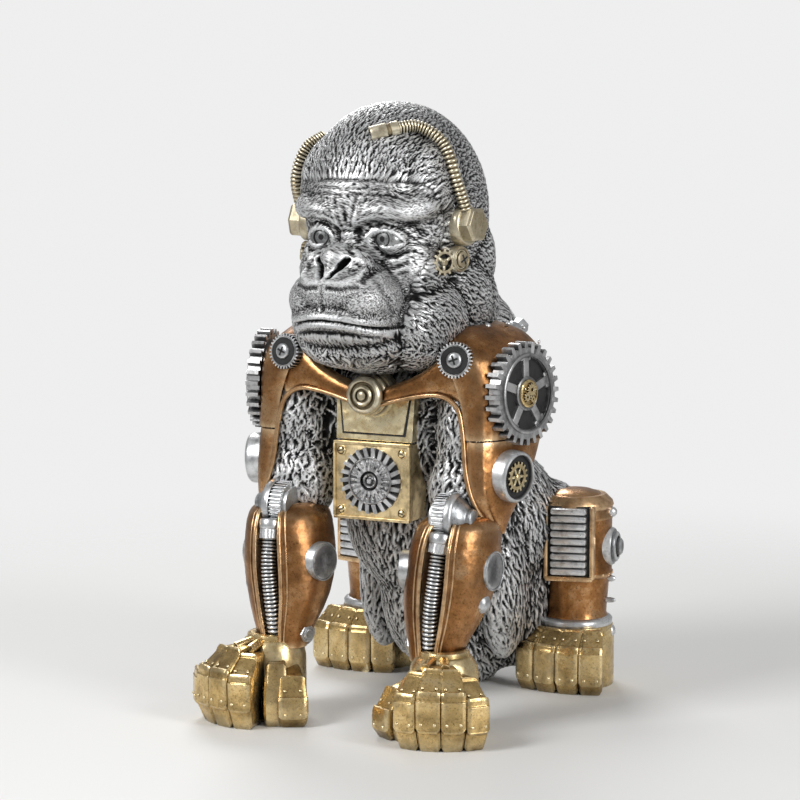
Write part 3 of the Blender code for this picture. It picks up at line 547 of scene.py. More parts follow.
def almond(x, z):
    """How far inside the opening a front-view point lies, in millimetres."""
    upper = np.interp(x, *zip(*UPPER_LID))
    lower = np.interp(x, *zip(*LOWER_LID))
    ends = np.minimum(x - UPPER_LID[0][0], UPPER_LID[-1][0] - x)
    return np.minimum(np.minimum(upper - z, z - lower), ends)


def open_eyes(skin):
    """Presses the skin back inside the almonds and lifts the rims of the lids."""
    points, normals = read_points(skin)
    for side in (1, -1):
        centre = np.array((side * EYE.x, EYE.y, EYE.z))
        offset = points - centre
        depth = np.linalg.norm(offset, axis=1)
        front = (points[:, 1] < EYE.y - 1) & (depth < 15)
        inside = almond(side * points[:, 0], points[:, 2])
        rim = front & (np.abs(inside + 0.8) < 1.4) & (inside < 0.3)
        lift = 0.25 * (1 - np.abs(inside[rim] + 0.8) / 1.4)
        points[rim] += offset[rim] / depth[rim, None] * lift[:, None]
        pressed = front & (inside > 0)
        share = np.clip(inside[pressed] / 0.45, 0, 1)
        target = centre + offset[pressed] / depth[pressed, None] * (EYE_RADIUS - 1.2)
        points[pressed] += (target - points[pressed]) * share[:, None]
    write_points(skin, points)


open_eyes(head_skin)


# %% [markdown]
# ## The fur
#
# The hair on the casting lies in pointed tufts that overlap like shingles. So the fur is
# combed on tuft by tuft: a tuft starts flat at its root, follows the direction the hair
# lies in, and rises towards a pointed tip. Where tufts overlap, the higher one wins,
# which leaves the sharp valleys that the paint darkens, partly as dark wash and partly as
# painted shade. Each point also remembers where it lies in its tuft, across and along,
# so that the paint can draw single hairs there.

# %% where there is fur, and which way it lies
FACE_SIDE = (
    (203, 21), (206, 25), (211, 28.5), (220, 30), (229, 29.5), (237, 35), (246, 37.5), (256, 39.6),
    (268, 39.6), (277, 37.5), (282, 31)
)


def into_face(points):
    """How far inside the bare face each point lies, in millimetres; below 0 on fur."""
    x, y, z = points.T
    top = 281.6 - 0.0015 * x * x - z
    side = np.interp(z, *zip(*FACE_SIDE)) - np.abs(x)
    chin = z - 207.4 + 0.006 * x * x
    front = -18 - y
    return np.minimum.reduce([top, side, chin, front])


def on_head(point):
    """Whether a point belongs to the head's short hair."""
    x, y, z = point
    return z > 196 - 0.25 * max(y, 0) + 0.012 * max(y, 0) ** 2


def hair_way(point):
    """The direction of the hair at a point."""
    x, y, z = point
    swirl = np.array(noise.noise_vector(Vector(point) * 0.05))
    if on_head(point):
        way = np.array((x * 1.1, y + 74, (z - 243) * 0.95 - 45 * min(max((y + 12) / 60, 0), 1.6)))
        if z < 214 and y < -20:
            way = np.array((x * 0.8, 8.0, -26.0))
        return way / np.linalg.norm(way) + 0.32 * swirl
    if y < -2 and abs(x) > 26 and z > 100:
        return np.array((0.012 * (abs(x) - 48) * math.copysign(1, x), 0, -0.8)) + 1.15 * swirl
    if y < 30 and z < 112:
        return np.array((-0.012 * x, -0.1, -1.0)) + 0.30 * swirl
    return np.array((0.006 * x, 0.004 * (y - 20), -1.0)) + 0.45 * swirl


def lock_size(point):
    """Length, width, height and curl of a tuft at a point."""
    x, y, z = point
    if on_head(point):
        if y < -20 and z < 214:
            return 6.0, 2.0, 0.85, 0.4
        if z < 240:
            return 9.5, 2.6, 1.15, 0.5
        return 8.0, 2.3, 1.05, 0.4
    if y < -2 and abs(x) > 26 and z > 100:
        return 9.5, 3.4, 1.8, 0.9
    return 13.0, 3.7, 1.9, 0.55


# %% comb a skin
def comb(skin, spacing, seed):
    """Lays tufts over the whole skin, and keeps the tallest tuft at each point."""
    points, normals = read_points(skin)
    random = np.random.default_rng(seed)
    inside = into_face(points)
    bare = eased(inside / 2.4 + 0.5)
    tree = kdtree.KDTree(len(points))
    for i, p in enumerate(points):
        tree.insert(p, i)
    tree.balance()
    cells = np.floor(points / spacing).astype(int)
    roots = np.unique(cells, axis=0, return_index=True)[1]
    height = np.zeros(len(points))
    size = np.full(len(points), 0.9)
    strand = points * (0.5, 1.0, 0.5)
    laid = 0
    for root in random.permutation(roots):
        start, up = points[root], normals[root]
        if bare[root] > 0.6 or start[2] < 1:
            continue
        long, wide, lift, curl = lock_size(start)
        size[root] = lift
        long *= random.uniform(0.7, 1.25)
        wide *= random.uniform(0.75, 1.25)
        way = hair_way(start) + random.normal(0, 0.10, 3)
        way -= up * (way @ up)
        way /= np.linalg.norm(way) + 1e-9
        across = np.cross(up, way)
        found = tree.find_range(Vector(start + way * long / 2), long * 0.58)
        near = np.array([i for _, i, _ in found])
        if not len(near):
            continue
        offset = points[near] - start
        s = offset @ way / long
        bow, wave = random.uniform(-curl, curl, 2) * wide
        side = offset @ across - bow * np.sin(math.pi * s) - wave * 0.6 * np.sin(2 * math.pi * s)
        leaf = np.clip(s / 0.2, 0, 1) ** 0.5 * np.clip((1 - s) / 0.6, 0, 1) ** 0.7
        t = side / (wide * 0.56 * leaf + 1e-6)
        rise = 0.12 + 0.88 * np.clip(s, 0, 1) ** 0.8
        lock = lift * random.uniform(0.75, 1.15) * rise * np.sqrt(np.clip(1 - t * t, 0, 1))
        lock *= (s > 0) & (s < 1)
        wins = lock > height[near]
        height[near[wins]] = lock[wins]
        size[near[wins]] = lift
        strand[near[wins], 0] = side[wins]
        strand[near[wins], 1] = s[wins] * long
        strand[near[wins], 2] = laid * 1.7 % 97
        laid += 1
    sunk = size * 0.5 * np.clip(-inside / 5, 0, 1)
    write_points(skin, points + normals * ((height - sunk) * (1 - bare))[:, None])
    print("tufts laid", laid)
    return bare, strand


HEAD_TUFT_SPACING, BODY_TUFT_SPACING = 1.7, 2.8
head_bare, head_strand = comb(head_skin, HEAD_TUFT_SPACING, 11)
body_bare, body_strand = comb(body_skin, BODY_TUFT_SPACING, 12)

# %% [markdown]
# The bare skin isn't smooth either: it has fine creases and is stippled round the
# mouth. A little noise moves the skin in and out, fine enough to read as leather. The
# finest creases are painted: on bare skin the "strand" of a point is simply its place,
# stretched so that the creases run across the forehead, and bent a little by noise.

# %% wrinkle the skin
def stipple(skin, bare, strand):
    """Roughens the bare skin, and stores the way its painted creases run."""
    points, normals = read_points(skin)
    bump = np.zeros(len(points))
    for i in np.flatnonzero(bare > 0.05):
        x, y, z = points[i]
        place = Vector((x, y, z))
        low = min(max((236 - z) / 8, 0), 1)
        value = noise.noise(place * 0.9) * (0.08 + 0.07 * low)
        value += noise.noise(Vector((x * 0.3, y * 0.3, z * 0.9))) * 0.14 * (1 - low)
        bump[i] = value * bare[i]
        if bare[i] > 0.5:
            bent = place + noise.noise_vector(place * 0.07) * 5
            strand[i] = (bent.z * 1.1, bent.x * (3.4 + 5.5 * low), bent.y * (0.5 + 0.5 * low))
    write_points(skin, points + normals * bump[:, None])


stipple(head_skin, head_bare, head_strand)


# %% measure the relief, for the paint
def averaged(values, ends, rounds):
    """Each point's value blended with its neighbours', some rounds over."""
    count = len(values)
    degree = np.bincount(ends.ravel(), minlength=count)
    for _ in range(rounds):
        total = np.empty_like(values)
        for axis in range(values.shape[1]):
            column = values[:, axis]
            total[:, axis] = np.bincount(ends[:, 0], column[ends[:, 1]], count)
            total[:, axis] += np.bincount(ends[:, 1], column[ends[:, 0]], count)
        values = (values + total / degree[:, None]) / 2
    return values


def mark_relief(skin, bare, strand, depth):
    """Stores how far each point stands above the skin round it, from 0 to 1."""
    points, normals = read_points(skin)
    ends = np.empty(len(skin.edges) * 2, np.int32)
    skin.edges.foreach_get("vertices", ends)
    ends = ends.reshape(-1, 2)
    close = averaged(points, ends, 8)
    wide = averaged(close, ends, 50)
    fine = ((points - close) * normals).sum(axis=1)
    broad = ((points - wide) * normals).sum(axis=1)
    # the broad terms make raised bulges lighter and hollows darker in the paint: painted highlight and
    # painted shade
    furred = fine / (0.22 * depth) + broad / (0.75 * depth)
    smooth = fine / 0.45 + broad / 4.0 + 0.14
    value = 0.5 + 0.5 * np.tanh(furred * (1 - bare) + smooth * bare)
    for name, numbers in (("relief", value), ("bare", bare)):
        made = skin.attributes.new(name, "FLOAT", "POINT")
        made.data.foreach_set("value", numbers.astype(np.float32))
    made = skin.attributes.new("strand", "FLOAT_VECTOR", "POINT")
    made.data.foreach_set("vector", strand.astype(np.float32).ravel())
    print("relief from", value.min().round(2), "to", value.max().round(2), "mean", value.mean().round(2))


HEAD_RELIEF, BODY_RELIEF = 1.0, 1.9
mark_relief(head_skin, head_bare, head_strand, HEAD_RELIEF)
mark_relief(body_skin, body_bare, body_strand, BODY_RELIEF)


# %% [markdown]
# A finished piece may not have too many faces, so the head is cut in two behind the
# ears, and the body above the hips. Each half is closed again with a flat lid at the
# cut, which never shows.

# %% place the fur in the frame
def place_skin(name, skin, cuts):
    """One furred piece, cut by planes, closed, and moved into the frame."""
    shape = bmesh.new()
    shape.from_mesh(skin)
    for place, away in (((0, 0, 0.05), (0, 0, -1)), *cuts):
        bmesh.ops.bisect_plane(
            shape,
            geom=shape.verts[:] + shape.edges[:] + shape.faces[:],
            dist=1e-5,
            plane_co=place,
            plane_no=away,
            clear_outer=True,
        )
        rim = [edge for edge in shape.edges if edge.is_boundary]
        if rim:
            bmesh.ops.holes_fill(shape, edges=rim, sides=0)
    lids = [face for face in shape.faces if len(face.verts) > 4]
    bmesh.ops.triangulate(shape, faces=lids)
    bmesh.ops.translate(shape, verts=shape.verts, vec=(0, SLIDE, 0))
    bmesh.ops.scale(shape, verts=shape.verts, vec=(MM, MM, MM))
    data = bpy.data.meshes.new(name)
    shape.to_mesh(data)
    shape.free()
    data.shade_smooth()
    data.calc_loop_triangles()
    print(name, len(data.loop_triangles), "triangles")
    return show(name, data, FUR)


HEAD_CUT = (0, -6, 0)
HIP_CUT = (0, 0, 108)
place_skin("face_and_brow_fur", head_skin, [(HEAD_CUT, (0, 1, 0))])
place_skin("back_of_head_fur", head_skin, [(HEAD_CUT, (0, -1, 0))])
place_skin("upper_body_fur", body_skin, [(HIP_CUT, (0, 0, -1))])
place_skin("lower_body_fur", body_skin, [(HIP_CUT, (0, 0, 1))])


# %% [markdown]
# ## Turned, toothed and lofted shapes
#
# Nearly all of the armour is one of a few kinds of shape. A knob, a drum or a bolt head
# is turned: a profile spun round an axis. A gear is a ring whose rim is pushed in and
# out, then extruded. A plate is lofted through sections. Each helper draws one such
# shape in millimetres, and put() adds it to a piece at its own place.

# %% places and directions
def turned_out(turn, height=0.0):
    """The direction at an angle from straight ahead, towards the gorilla's left."""
    angle = math.radians(turn)
    return Vector((math.sin(angle), -math.cos(angle), height))


def frame_at(point, along, up=(0, 0, 1)):
    """A matrix at a point whose Z runs along the given direction."""
    z = Vector(along).normalized()
    x = Vector(up).cross(z)
    x = x.normalized() if x.length > 1e-6 else Vector((1, 0, 0))
    return Matrix.Translation(point) @ Matrix((x, z.cross(x), z)).transposed().to_4x4()


def put(shape, part, place=None):
    """Adds a small shape to a bigger one."""
    if place is not None:
        bmesh.ops.transform(part, matrix=place, verts=part.verts)
    holder = bpy.data.meshes.new("holder")
    part.to_mesh(holder)
    part.free()
    shape.from_mesh(holder)
    bpy.data.meshes.remove(holder)


def both_sides(shape):
    """Repeats a shape drawn on the gorilla's left on its right."""
    copy = bmesh.ops.duplicate(shape, geom=shape.verts[:] + shape.edges[:] + shape.faces[:])
    verts = [part for part in copy["geom"] if isinstance(part, bmesh.types.BMVert)]
    bmesh.ops.scale(shape, verts=verts, vec=(-1, 1, 1))
    return shape


# %% a turned shape
def turned(profile, steps=32):
    """Spins (radius, height) points round Z; both ends are closed on the axis."""
    shape = bmesh.new()
    line = [(0, profile[0][1]), *profile, (0, profile[-1][1])]
    verts = [shape.verts.new((r, 0, h)) for r, h in line]
    edges = [shape.edges.new(pair) for pair in zip(verts, verts[1:])]
    bmesh.ops.spin(
        shape,
        geom=verts + edges,
        cent=(0, 0, 0),
        axis=(0, 0, 1),
        angle=2 * math.pi,
        steps=steps,
        use_merge=True,
    )
    bmesh.ops.remove_doubles(shape, verts=shape.verts, dist=1e-4)
    return shape


# %% a toothed wheel
def gear(teeth, radius, root, bore, low, high, land=0.5, hook=0.0):
    """A flat toothed ring; land is a tooth's share of the pitch, hook leans its tips."""
    shape = bmesh.new()
    count = teeth * 6
    rim = bmesh.ops.create_circle(shape, cap_ends=False, segments=count, radius=radius)["verts"]
    hole = bmesh.ops.create_circle(shape, cap_ends=False, segments=count, radius=bore)["verts"]
    pitch = 2 * math.pi / teeth
    foot, tip = 0.5 * pitch * (1 - land * 0.75), 0.5 * pitch * land * 0.62
    marks = (-foot, -0.5 * pitch * land, -tip, tip, 0.5 * pitch * land, foot)
    reach = (root, root, radius, radius, root, root)
    for k, vert in enumerate(rim):
        tooth, corner = divmod(k, 6)
        turn = tooth * pitch + marks[corner] + (hook if 2 <= corner <= 3 else 0)
        vert.co = (reach[corner] * math.cos(turn), reach[corner] * math.sin(turn), 0)
    for k, vert in enumerate(hole):
        turn = (k // 6) * pitch + (k % 6 - 2.5) / 6 * pitch
        vert.co = (bore * math.cos(turn), bore * math.sin(turn), 0)
    for k in range(count):
        n = (k + 1) % count
        shape.faces.new((rim[k], rim[n], hole[n], hole[k]))
    bmesh.ops.delete(shape, geom=[e for e in shape.edges if not e.link_faces], context="EDGES")
    bmesh.ops.translate(shape, verts=shape.verts, vec=(0, 0, low))
    grown = bmesh.ops.extrude_face_region(shape, geom=shape.faces[:])["geom"]
    top = [part for part in grown if isinstance(part, bmesh.types.BMVert)]
    bmesh.ops.translate(shape, verts=top, vec=(0, 0, high - low))
    return shape


# %% blocks, rivets, lofts and hoses
def block(x, y, z, edge=0.0):
    """A block between (low, high) pairs, with its edges bevelled."""
    shape = bmesh.new()
    size = Matrix.Diagonal((x[1] - x[0], y[1] - y[0], z[1] - z[0], 1))
    middle = Matrix.Translation(((x[0] + x[1]) / 2, (y[0] + y[1]) / 2, (z[0] + z[1]) / 2))
    bmesh.ops.create_cube(shape, size=1, matrix=middle @ size)
    if edge:
        bmesh.ops.bevel(
            shape,
            geom=shape.edges[:],
            affect="EDGES",
            offset=edge,
            segments=2,
            profile=0.5,
            material=-1,
        )
    return shape


def rivet(radius, proud=0.6):
    """A domed rivet head standing on Z = 0."""
    shape = bmesh.new()
    bmesh.ops.create_uvsphere(shape, u_segments=10, v_segments=6, radius=radius)
    bmesh.ops.scale(shape, verts=shape.verts, vec=(1, 1, proud))
    return shape


def loft(rings, closed_path=False):
    """A closed skin through rings of points, shaped from a grid."""
    around, along = len(rings[0]), len(rings) - 1
    shape = bmesh.new()
    bmesh.ops.create_grid(shape, x_segments=around, y_segments=along + closed_path, size=1)
    rows = along + closed_path
    for vert in shape.verts:
        column = round((vert.co.x + 1) / 2 * around) % around
        row = round((vert.co.y + 1) / 2 * rows) % (rows if closed_path else rows + 1)
        vert.co = rings[row][column]
    bmesh.ops.remove_doubles(shape, verts=shape.verts, dist=1e-4)
    if not closed_path:
        rim = [edge for edge in shape.edges if edge.is_boundary]
        bmesh.ops.holes_fill(shape, edges=rim, sides=0)
    return shape


def smooth_path(knots, count):
    """Points on a Catmull-Rom curve through the knots."""
    knots = [Vector(knot) for knot in knots]
    padded = [2 * knots[0] - knots[1], *knots, 2 * knots[-1] - knots[-2]]
    found = []
    for k in range(count):
        place = k / (count - 1) * (len(knots) - 1)
        i = min(int(place), len(knots) - 2)
        t = place - i
        a, b, c, d = padded[i : i + 4]
        bend, twist = 2 * a - 5 * b + 4 * c - d, 3 * b - a - 3 * c + d
        found.append(0.5 * (2 * b + (c - a) * t + bend * t**2 + twist * t**3))
    return found


def tube(path, radii, sides=14):
    """A round bar along a path, with a radius at each of its points."""
    rings = []
    for k, point in enumerate(path):
        along = path[min(k + 1, len(path) - 1)] - path[max(k - 1, 0)]
        place = frame_at(point, along, (0.9, 0.1, 0.3))
        turns = [2 * math.pi * n / sides for n in range(sides)]
        rings.append(
            [place @ Vector((radii[k] * math.cos(a), radii[k] * math.sin(a), 0)) for a in turns]
        )
    return loft(rings)


def ribbed(knots, radius, ribs):
    """A hose of rounded ribs along a curve."""
    wave = (0.70, 0.93, 1.0, 0.93)
    path = smooth_path(knots, ribs * 4 + 1)
    return tube(path, [radius * wave[k % 4] for k in range(len(path))], 16)


# %% [markdown]
# ## Eyes
#
# An eyeball is silver like the face. The iris is a shallow dish with a raised ring, and
# the pupil is a black disc in it, so both read even without colour.

# %% turn the eyes
def eye_profile(radius):
    """The eyeball's front as a profile round its axis, iris dish and all."""
    ball = []
    for lean in range(-60, 64, 6):
        angle = math.radians(lean)
        ball.append((radius * math.cos(angle), radius * math.sin(angle)))
    edge = ball[-1]
    return [
        *ball, (edge[0] * 0.93, edge[1] + 0.05), (edge[0] * 0.88, edge[1] - 0.3),
        (2.6, edge[1] - 0.1), (1.5, edge[1] + 0.1)
    ]


eyeballs = bmesh.new()
pupils = bmesh.new()
EYE_TURN = -4
eye_place = frame_at(EYE, turned_out(EYE_TURN))
put(eyeballs, turned(eye_profile(EYE_RADIUS), 40), eye_place)
iris_height = EYE_RADIUS * math.sin(math.radians(60))
pupil = [(1.55, iris_height - 0.6), (1.5, iris_height + 0.16), (0.8, iris_height + 0.24)]
put(pupils, turned(pupil, 20), eye_place)
iris_ring = [
    (4.45, iris_height - 0.5), (4.4, iris_height + 0.08), (3.75, iris_height + 0.22),
    (3.6, iris_height - 0.5)
]
put(pupils, turned(iris_ring, 36), eye_place)
EYE_SILVER = old_metal_with_painted_light(
    "eye_silver_paint", (0.95, 0.95, 0.95), (0.46, 0.465, 0.47), (0.012, 0.012, 0.012), 0.26, 0.85,
    4.0, 0.03
)
finish("eyeballs", both_sides(eyeballs), EYE_SILVER)
finish("pupils", both_sides(pupils), BLACK)

# %% [markdown]
# ## Headset
#
# A hose comes up from a hexagonal bolt over each ear. On the gorilla's left it ends in a
# plug above the brow. Under the bolt sit a screwed disc and a little three-spoked gear.

# %% hoses, plug and ear fittings
HEADSET_LEFT = (
    (17, -37.2, 307.4), (27, -28.6, 308.2), (38.5, -24, 299.2), (44.8, -22.4, 281), (48, -16.5, 264)
)
HEADSET_RIGHT = ((-34, -17, 302.5), (-40, -26, 296), (-45, -27.5, 281), (-48, -16.5, 264))
headset = bmesh.new()
put(headset, ribbed(HEADSET_LEFT, 3.3, 33))
put(headset, ribbed(HEADSET_RIGHT, 3.3, 26))
finish("headset_hoses", headset, BRASS, sharp=60)

plug = bmesh.new()
start, nose = Vector(HEADSET_LEFT[0]), Vector((7, -45.5, 304.5))
run = (nose - start).length
sleeve = [
    (3.2, -2), (3.8, -1.6), (3.9, 2.2), (3.4, 2.6), (3.4, 4.2), (4.0, 4.6), (4.0, run - 1.2),
    (3.6, run - 0.4), (2.4, run - 0.2), (2.2, run - 2)
]
put(plug, turned(sleeve, 24), frame_at(start, nose - start))
finish("headset_plug", plug, BRASS)

ear_fittings = bmesh.new()
ear_place = frame_at((42, -13, 258), turned_out(80, 0.06))
put(ear_fittings, turned([(10.6, -4), (10.6, 4.6), (9.9, 5.6), (9.2, 6)], 40), ear_place)
put(ear_fittings, turned([(9.4, 4), (9.4, 11), (8.2, 12.3), (6.6, 12.6)], 6), ear_place)
disc_place = frame_at((40.5, -17, 241), turned_out(78))
disc = [(6.7, -5), (6.7, 5), (6.1, 5.8), (5.2, 5.6), (4.9, 5.0), (4.4, 5.0), (4.0, 6.4), (2.4, 7.0)]
put(ear_fittings, turned(disc, 30), disc_place)
finish("ear_bolts_and_discs", both_sides(ear_fittings), BRASS, bevel=0.35)

ear_gears = bmesh.new()
wheel_place = frame_at((38.5, -27.5, 240), turned_out(62))
put(ear_gears, gear(12, 6.9, 5.6, 4.3, 0.5, 3.4), wheel_place)
put(ear_gears, turned([(1.9, 0), (1.9, 3.4), (1.2, 4.2)], 16), wheel_place)
for k in range(3):
    spin = Matrix.Rotation(2 * math.pi * k / 3 + 0.5, 4, "Z")
    put(ear_gears, block((0, 4.6), (-0.8, 0.8), (0.8, 3.0), 0.2), wheel_place @ spin)
finish("ear_gears", both_sides(ear_gears), BRASS, bevel=0.18)
ear_backs = bmesh.new()
put(ear_backs, turned([(4.8, -6), (4.8, 0.9)], 24), wheel_place)
put(ear_backs, block((-2.8, 2.8), (-0.5, 0.5), (6.5, 7.1)), disc_place @ Matrix.Rotation(0.5, 4, "Z"))
put(ear_backs, block((-0.5, 0.5), (-2.8, 2.8), (6.5, 7.1)), disc_place @ Matrix.Rotation(0.5, 4, "Z"))
finish("ear_recesses", both_sides(ear_backs), BLACK)

# %% [markdown]
# ## Shoulder caps and straps
#
# The copper caps are thick curved plates with a soft ridge down the front. Each is
# lofted through level sections: the section's shape changes slowly from the neck edge
# to the pointed tip on the arm. A seam splits the cap in two at the armpit.

# %% sections of the caps
CAP_UPPER = (
    # height, then x and y of the front inner edge, front ridge, rear corner and rear edge
    (206, (44, -12), (49, -8), (56, 14), (44, 26)),
    (201, (38, -25), (54, -20), (65, 20), (44, 42)),
    (192, (42, -32), (62, -28), (73, 22), (50, 46)),
    (180, (48, -32.5), (65.5, -30), (77, 22), (57, 44)),
    (166, (52.5, -32.5), (66.3, -30), (78, 20), (61, 40)),
    (150.2, (54, -33), (66.3, -30.5), (77.5, 15), (62, 32)),
)
CAP_LOWER = (
    (149.2, (54.6, -32), (65.7, -29.8), (76.8, 14.3), (62, 31)),
    (135, (56, -34), (66.8, -31), (75.5, 8), (63, 20)),
    (121, (59, -34.5), (67.5, -30.5), (73.5, -2), (63, 6)),
    (110, (64, -30), (68.5, -26.5), (71.5, -12), (66, -8)),
    (101, (68, -20), (69, -18), (69.5, -16), (68, -15)),
)
SIDE_STEPS = (0.05, 0.14, 0.28, 0.42, 0.56, 0.7, 0.84, 0.95)


def cap_ring(z, inner, ridge, rear, back):
    """One level section of a cap, with rounded corners and bowed sides."""
    inner, ridge, rear, back = (Vector((x, y, z)) for x, y in (inner, ridge, rear, back))
    spine = Vector((50 if z > 105 else 62, (inner.y + back.y) / 2, z))
    chord = rear - ridge
    bulge = Vector((chord.y, -chord.x, 0)) * 0.28
    face = ridge - inner
    puff = Vector((face.y, -face.x, 0)) * 0.16
    ring = [inner + Vector((0.6, 2.2, 0)), inner]
    ring += [inner.lerp(ridge, t) + puff * 4 * t * (1 - t) for t in (0.12, 0.3, 0.5, 0.7, 0.86)]
    ring.append(ridge + (ridge - spine).normalized() * -0.7)
    ring += [ridge.lerp(rear, t) + bulge * t * (1 - t) for t in SIDE_STEPS]
    ring += [rear.lerp(back, t) for t in (0.1, 0.35, 0.65, 1.0)]
    return [*ring, back.lerp(spine, 0.2), spine]


def stretched(stations, count):
    """More sections between the given ones, on smooth curves."""
    rows = [(z, *[n for corner in corners for n in corner]) for z, *corners in stations]
    table = np.array(rows, float)
    place = np.linspace(0, len(rows) - 1, count)
    padded = np.vstack([2 * table[0] - table[1], table, 2 * table[-1] - table[-2]])
    found = []
    for p in place:
        i = min(int(p), len(rows) - 2)
        t = p - i
        a, b, c, d = padded[i : i + 4]
        bend, twist = 2 * a - 5 * b + 4 * c - d, 3 * b - a - 3 * c + d
        row = 0.5 * (2 * b + (c - a) * t + bend * t**2 + twist * t**3)
        found.append((row[0], row[1:3], row[3:5], row[5:7], row[7:9]))
    return found


# %% loft the caps
for name, stations, count in (("shoulder_caps", CAP_UPPER, 26), ("arm_plates", CAP_LOWER, 22)):
    rings = [cap_ring(*station) for station in stretched(stations, count)]
    cap = bmesh.new()
    put(cap, loft(rings))
    finish(name, both_sides(cap), COPPER, sharp=50)

# %% the rolled rim of the arch, and small rivets along the edges
ARCH = (
    (3, -34.2, 164.6), (12, -34.4, 167.4), (22, -33.9, 170), (30, -33.4, 171.6), (38, -32.6, 172.3),
    (45, -32, 170.4), (50.6, -32.2, 165),
    (53.2, -33, 155), (54.4, -33.6, 146), (56, -34.3, 133), (59.4, -34.6, 121), (64, -30.5, 110),
    (68, -21, 102),
)
trim = bmesh.new()
path = smooth_path(ARCH, 90)
put(trim, tube(path, [1.3] * len(path), 12))
finish("cap_rims", both_sides(trim), COPPER, sharp=60)

EDGE_RIVETS = ((47, -15, 202.5), (52.5, -1, 206.2), (58, 12, 206.5), (60, 27, 203))
studs = bmesh.new()
for spot in EDGE_RIVETS:
    put(studs, rivet(1.5), frame_at(spot, (0.5, -0.25, 0.8)))
for z in (196, 186, 176, 166, 156):
    put(studs, rivet(1.2), frame_at((69 + (206 - z) * 0.12, 24, z), turned_out(110)))
finish("cap_rivets", both_sides(studs), SILVER)

# %% the straps to the chest knob
STRAP = (
    # x, y, z, half height and how far the middle stands proud
    (51, -30.5, 184, 15.5, 1.6),
    (44, -31, 183, 12, 1.8),
    (38, -31.8, 180.8, 8.6, 2.0),
    (30, -32.8, 177.5, 6.2, 2.2),
    (22, -33.5, 174.6, 5.0, 2.2),
    (12, -34, 171.4, 4.4, 2.2),
    (3, -34, 168.5, 4.2, 2.2),
)
rings = []
table = np.array(STRAP, float)
for p in np.linspace(0, len(STRAP) - 1, 28):
    i = min(int(p), len(STRAP) - 2)
    x, y, z, half, proud = table[i] + (table[i + 1] - table[i]) * (p - i)
    ring = [Vector((x, y + 9, z + half))]
    for lean in np.linspace(-78, 78, 9):
        angle = math.radians(-lean)
        ring.append(Vector((x, y + 1 - proud * math.cos(angle), z + half * math.sin(angle))))
    rings.append([*ring, Vector((x, y + 9, z - half))])
strap = bmesh.new()
put(strap, loft(rings))
finish("straps", both_sides(strap), COPPER, sharp=50)

# %% [markdown]
# ## Shoulder clockwork
#
# The big gear is a silver toothed rim over a black well, with five spokes and a gold
# movement in the middle. Below it sits a porthole with a gold wheel, and on the collar a
# fine-toothed gear with a cross-headed screw.

# %% the big gears
shoulder_place = frame_at((75.3, -7.8, 172.8), turned_out(77, 0.03))
rims = bmesh.new()
put(rims, gear(28, 26.6, 23.4, 18.6, -3.5, 3.2, 0.56), shoulder_place)
inner_rim = [(20.6, -5), (20.6, 4.3), (20.0, 4.7), (19.2, 4.7), (18.7, 4.2), (18.7, -5)]
put(rims, turned(inner_rim, 72), shoulder_place)
for k in range(5):
    spin = Matrix.Rotation(2 * math.pi * (k + 0.25) / 5, 4, "Z")
    put(rims, block((5, 19), (-2.3, 2.3), (-1.5, 3.0), 0.5), shoulder_place @ spin)
    put(rims, block((16.6, 19.4), (-4.4, 4.4), (-1.5, 2.8), 0.9), shoulder_place @ spin)
put(rims, turned([(8.8, -2), (8.8, 3.3), (8.2, 3.8)], 40), shoulder_place)
finish("shoulder_gears", both_sides(rims), STEEL, bevel=0.22)
wells = bmesh.new()
put(wells, turned([(19.2, -5), (19.2, 1.2)], 48), shoulder_place)
finish("shoulder_gear_wells", both_sides(wells), BLACK)
hubs = bmesh.new()
put(hubs, turned([(7.2, 0), (7.2, 4.4), (6.6, 4.9), (5.8, 4.9), (5.6, 4.2)], 40), shoulder_place)
put(hubs, gear(14, 3.6, 2.9, 1.0, 4.2, 5.2), shoulder_place @ Matrix.Translation((1.6, 1.8, 0)))
put(hubs, gear(10, 2.6, 2.0, 0.7, 4.2, 5.5), shoulder_place @ Matrix.Translation((-2.6, -1.6, 0)))
put(hubs, gear(8, 1.9, 1.4, 0.5, 4.2, 5.4), shoulder_place @ Matrix.Translation((2.2, -3.0, 0)))
for x, y in ((-3.4, 2.6), (4.2, -0.8), (0, -0.4)):
    put(hubs, rivet(0.7), shoulder_place @ Matrix.Translation((x, y, 4.7)))
finish("shoulder_gear_hubs", both_sides(hubs), GOLD, bevel=0.1)

# %% the portholes
porthole_place = frame_at((74.6, -16.8, 131), turned_out(77, -0.05))
rings_of_ports = bmesh.new()
ring = [
    (13.4, -9), (13.4, 2.2), (13.0, 3.4), (12.3, 4.1), (11.6, 4.1), (11.2, 3.4), (11.1, 1.6),
    (11.1, -2)
]
put(rings_of_ports, turned(ring, 56), porthole_place)
finish("porthole_rings", both_sides(rings_of_ports), SILVER)
port_faces = bmesh.new()
put(port_faces, turned([(11.2, -3), (11.2, 1.75)], 40), porthole_place)
finish("porthole_faces", both_sides(port_faces), BLACK)
port_wheels = bmesh.new()
put(port_wheels, gear(16, 8.0, 6.7, 4.9, 1.4, 3.0), porthole_place)
put(port_wheels, turned([(1.8, 1.5), (1.8, 3.2), (1.0, 3.8)], 20), porthole_place)
for k in range(6):
    spin = Matrix.Rotation(2 * math.pi * k / 6, 4, "Z")
    put(port_wheels, block((0, 5.4), (-0.65, 0.65), (1.5, 2.8), 0.15), porthole_place @ spin)
finish("porthole_wheels", both_sides(port_wheels), GOLD, bevel=0.12)

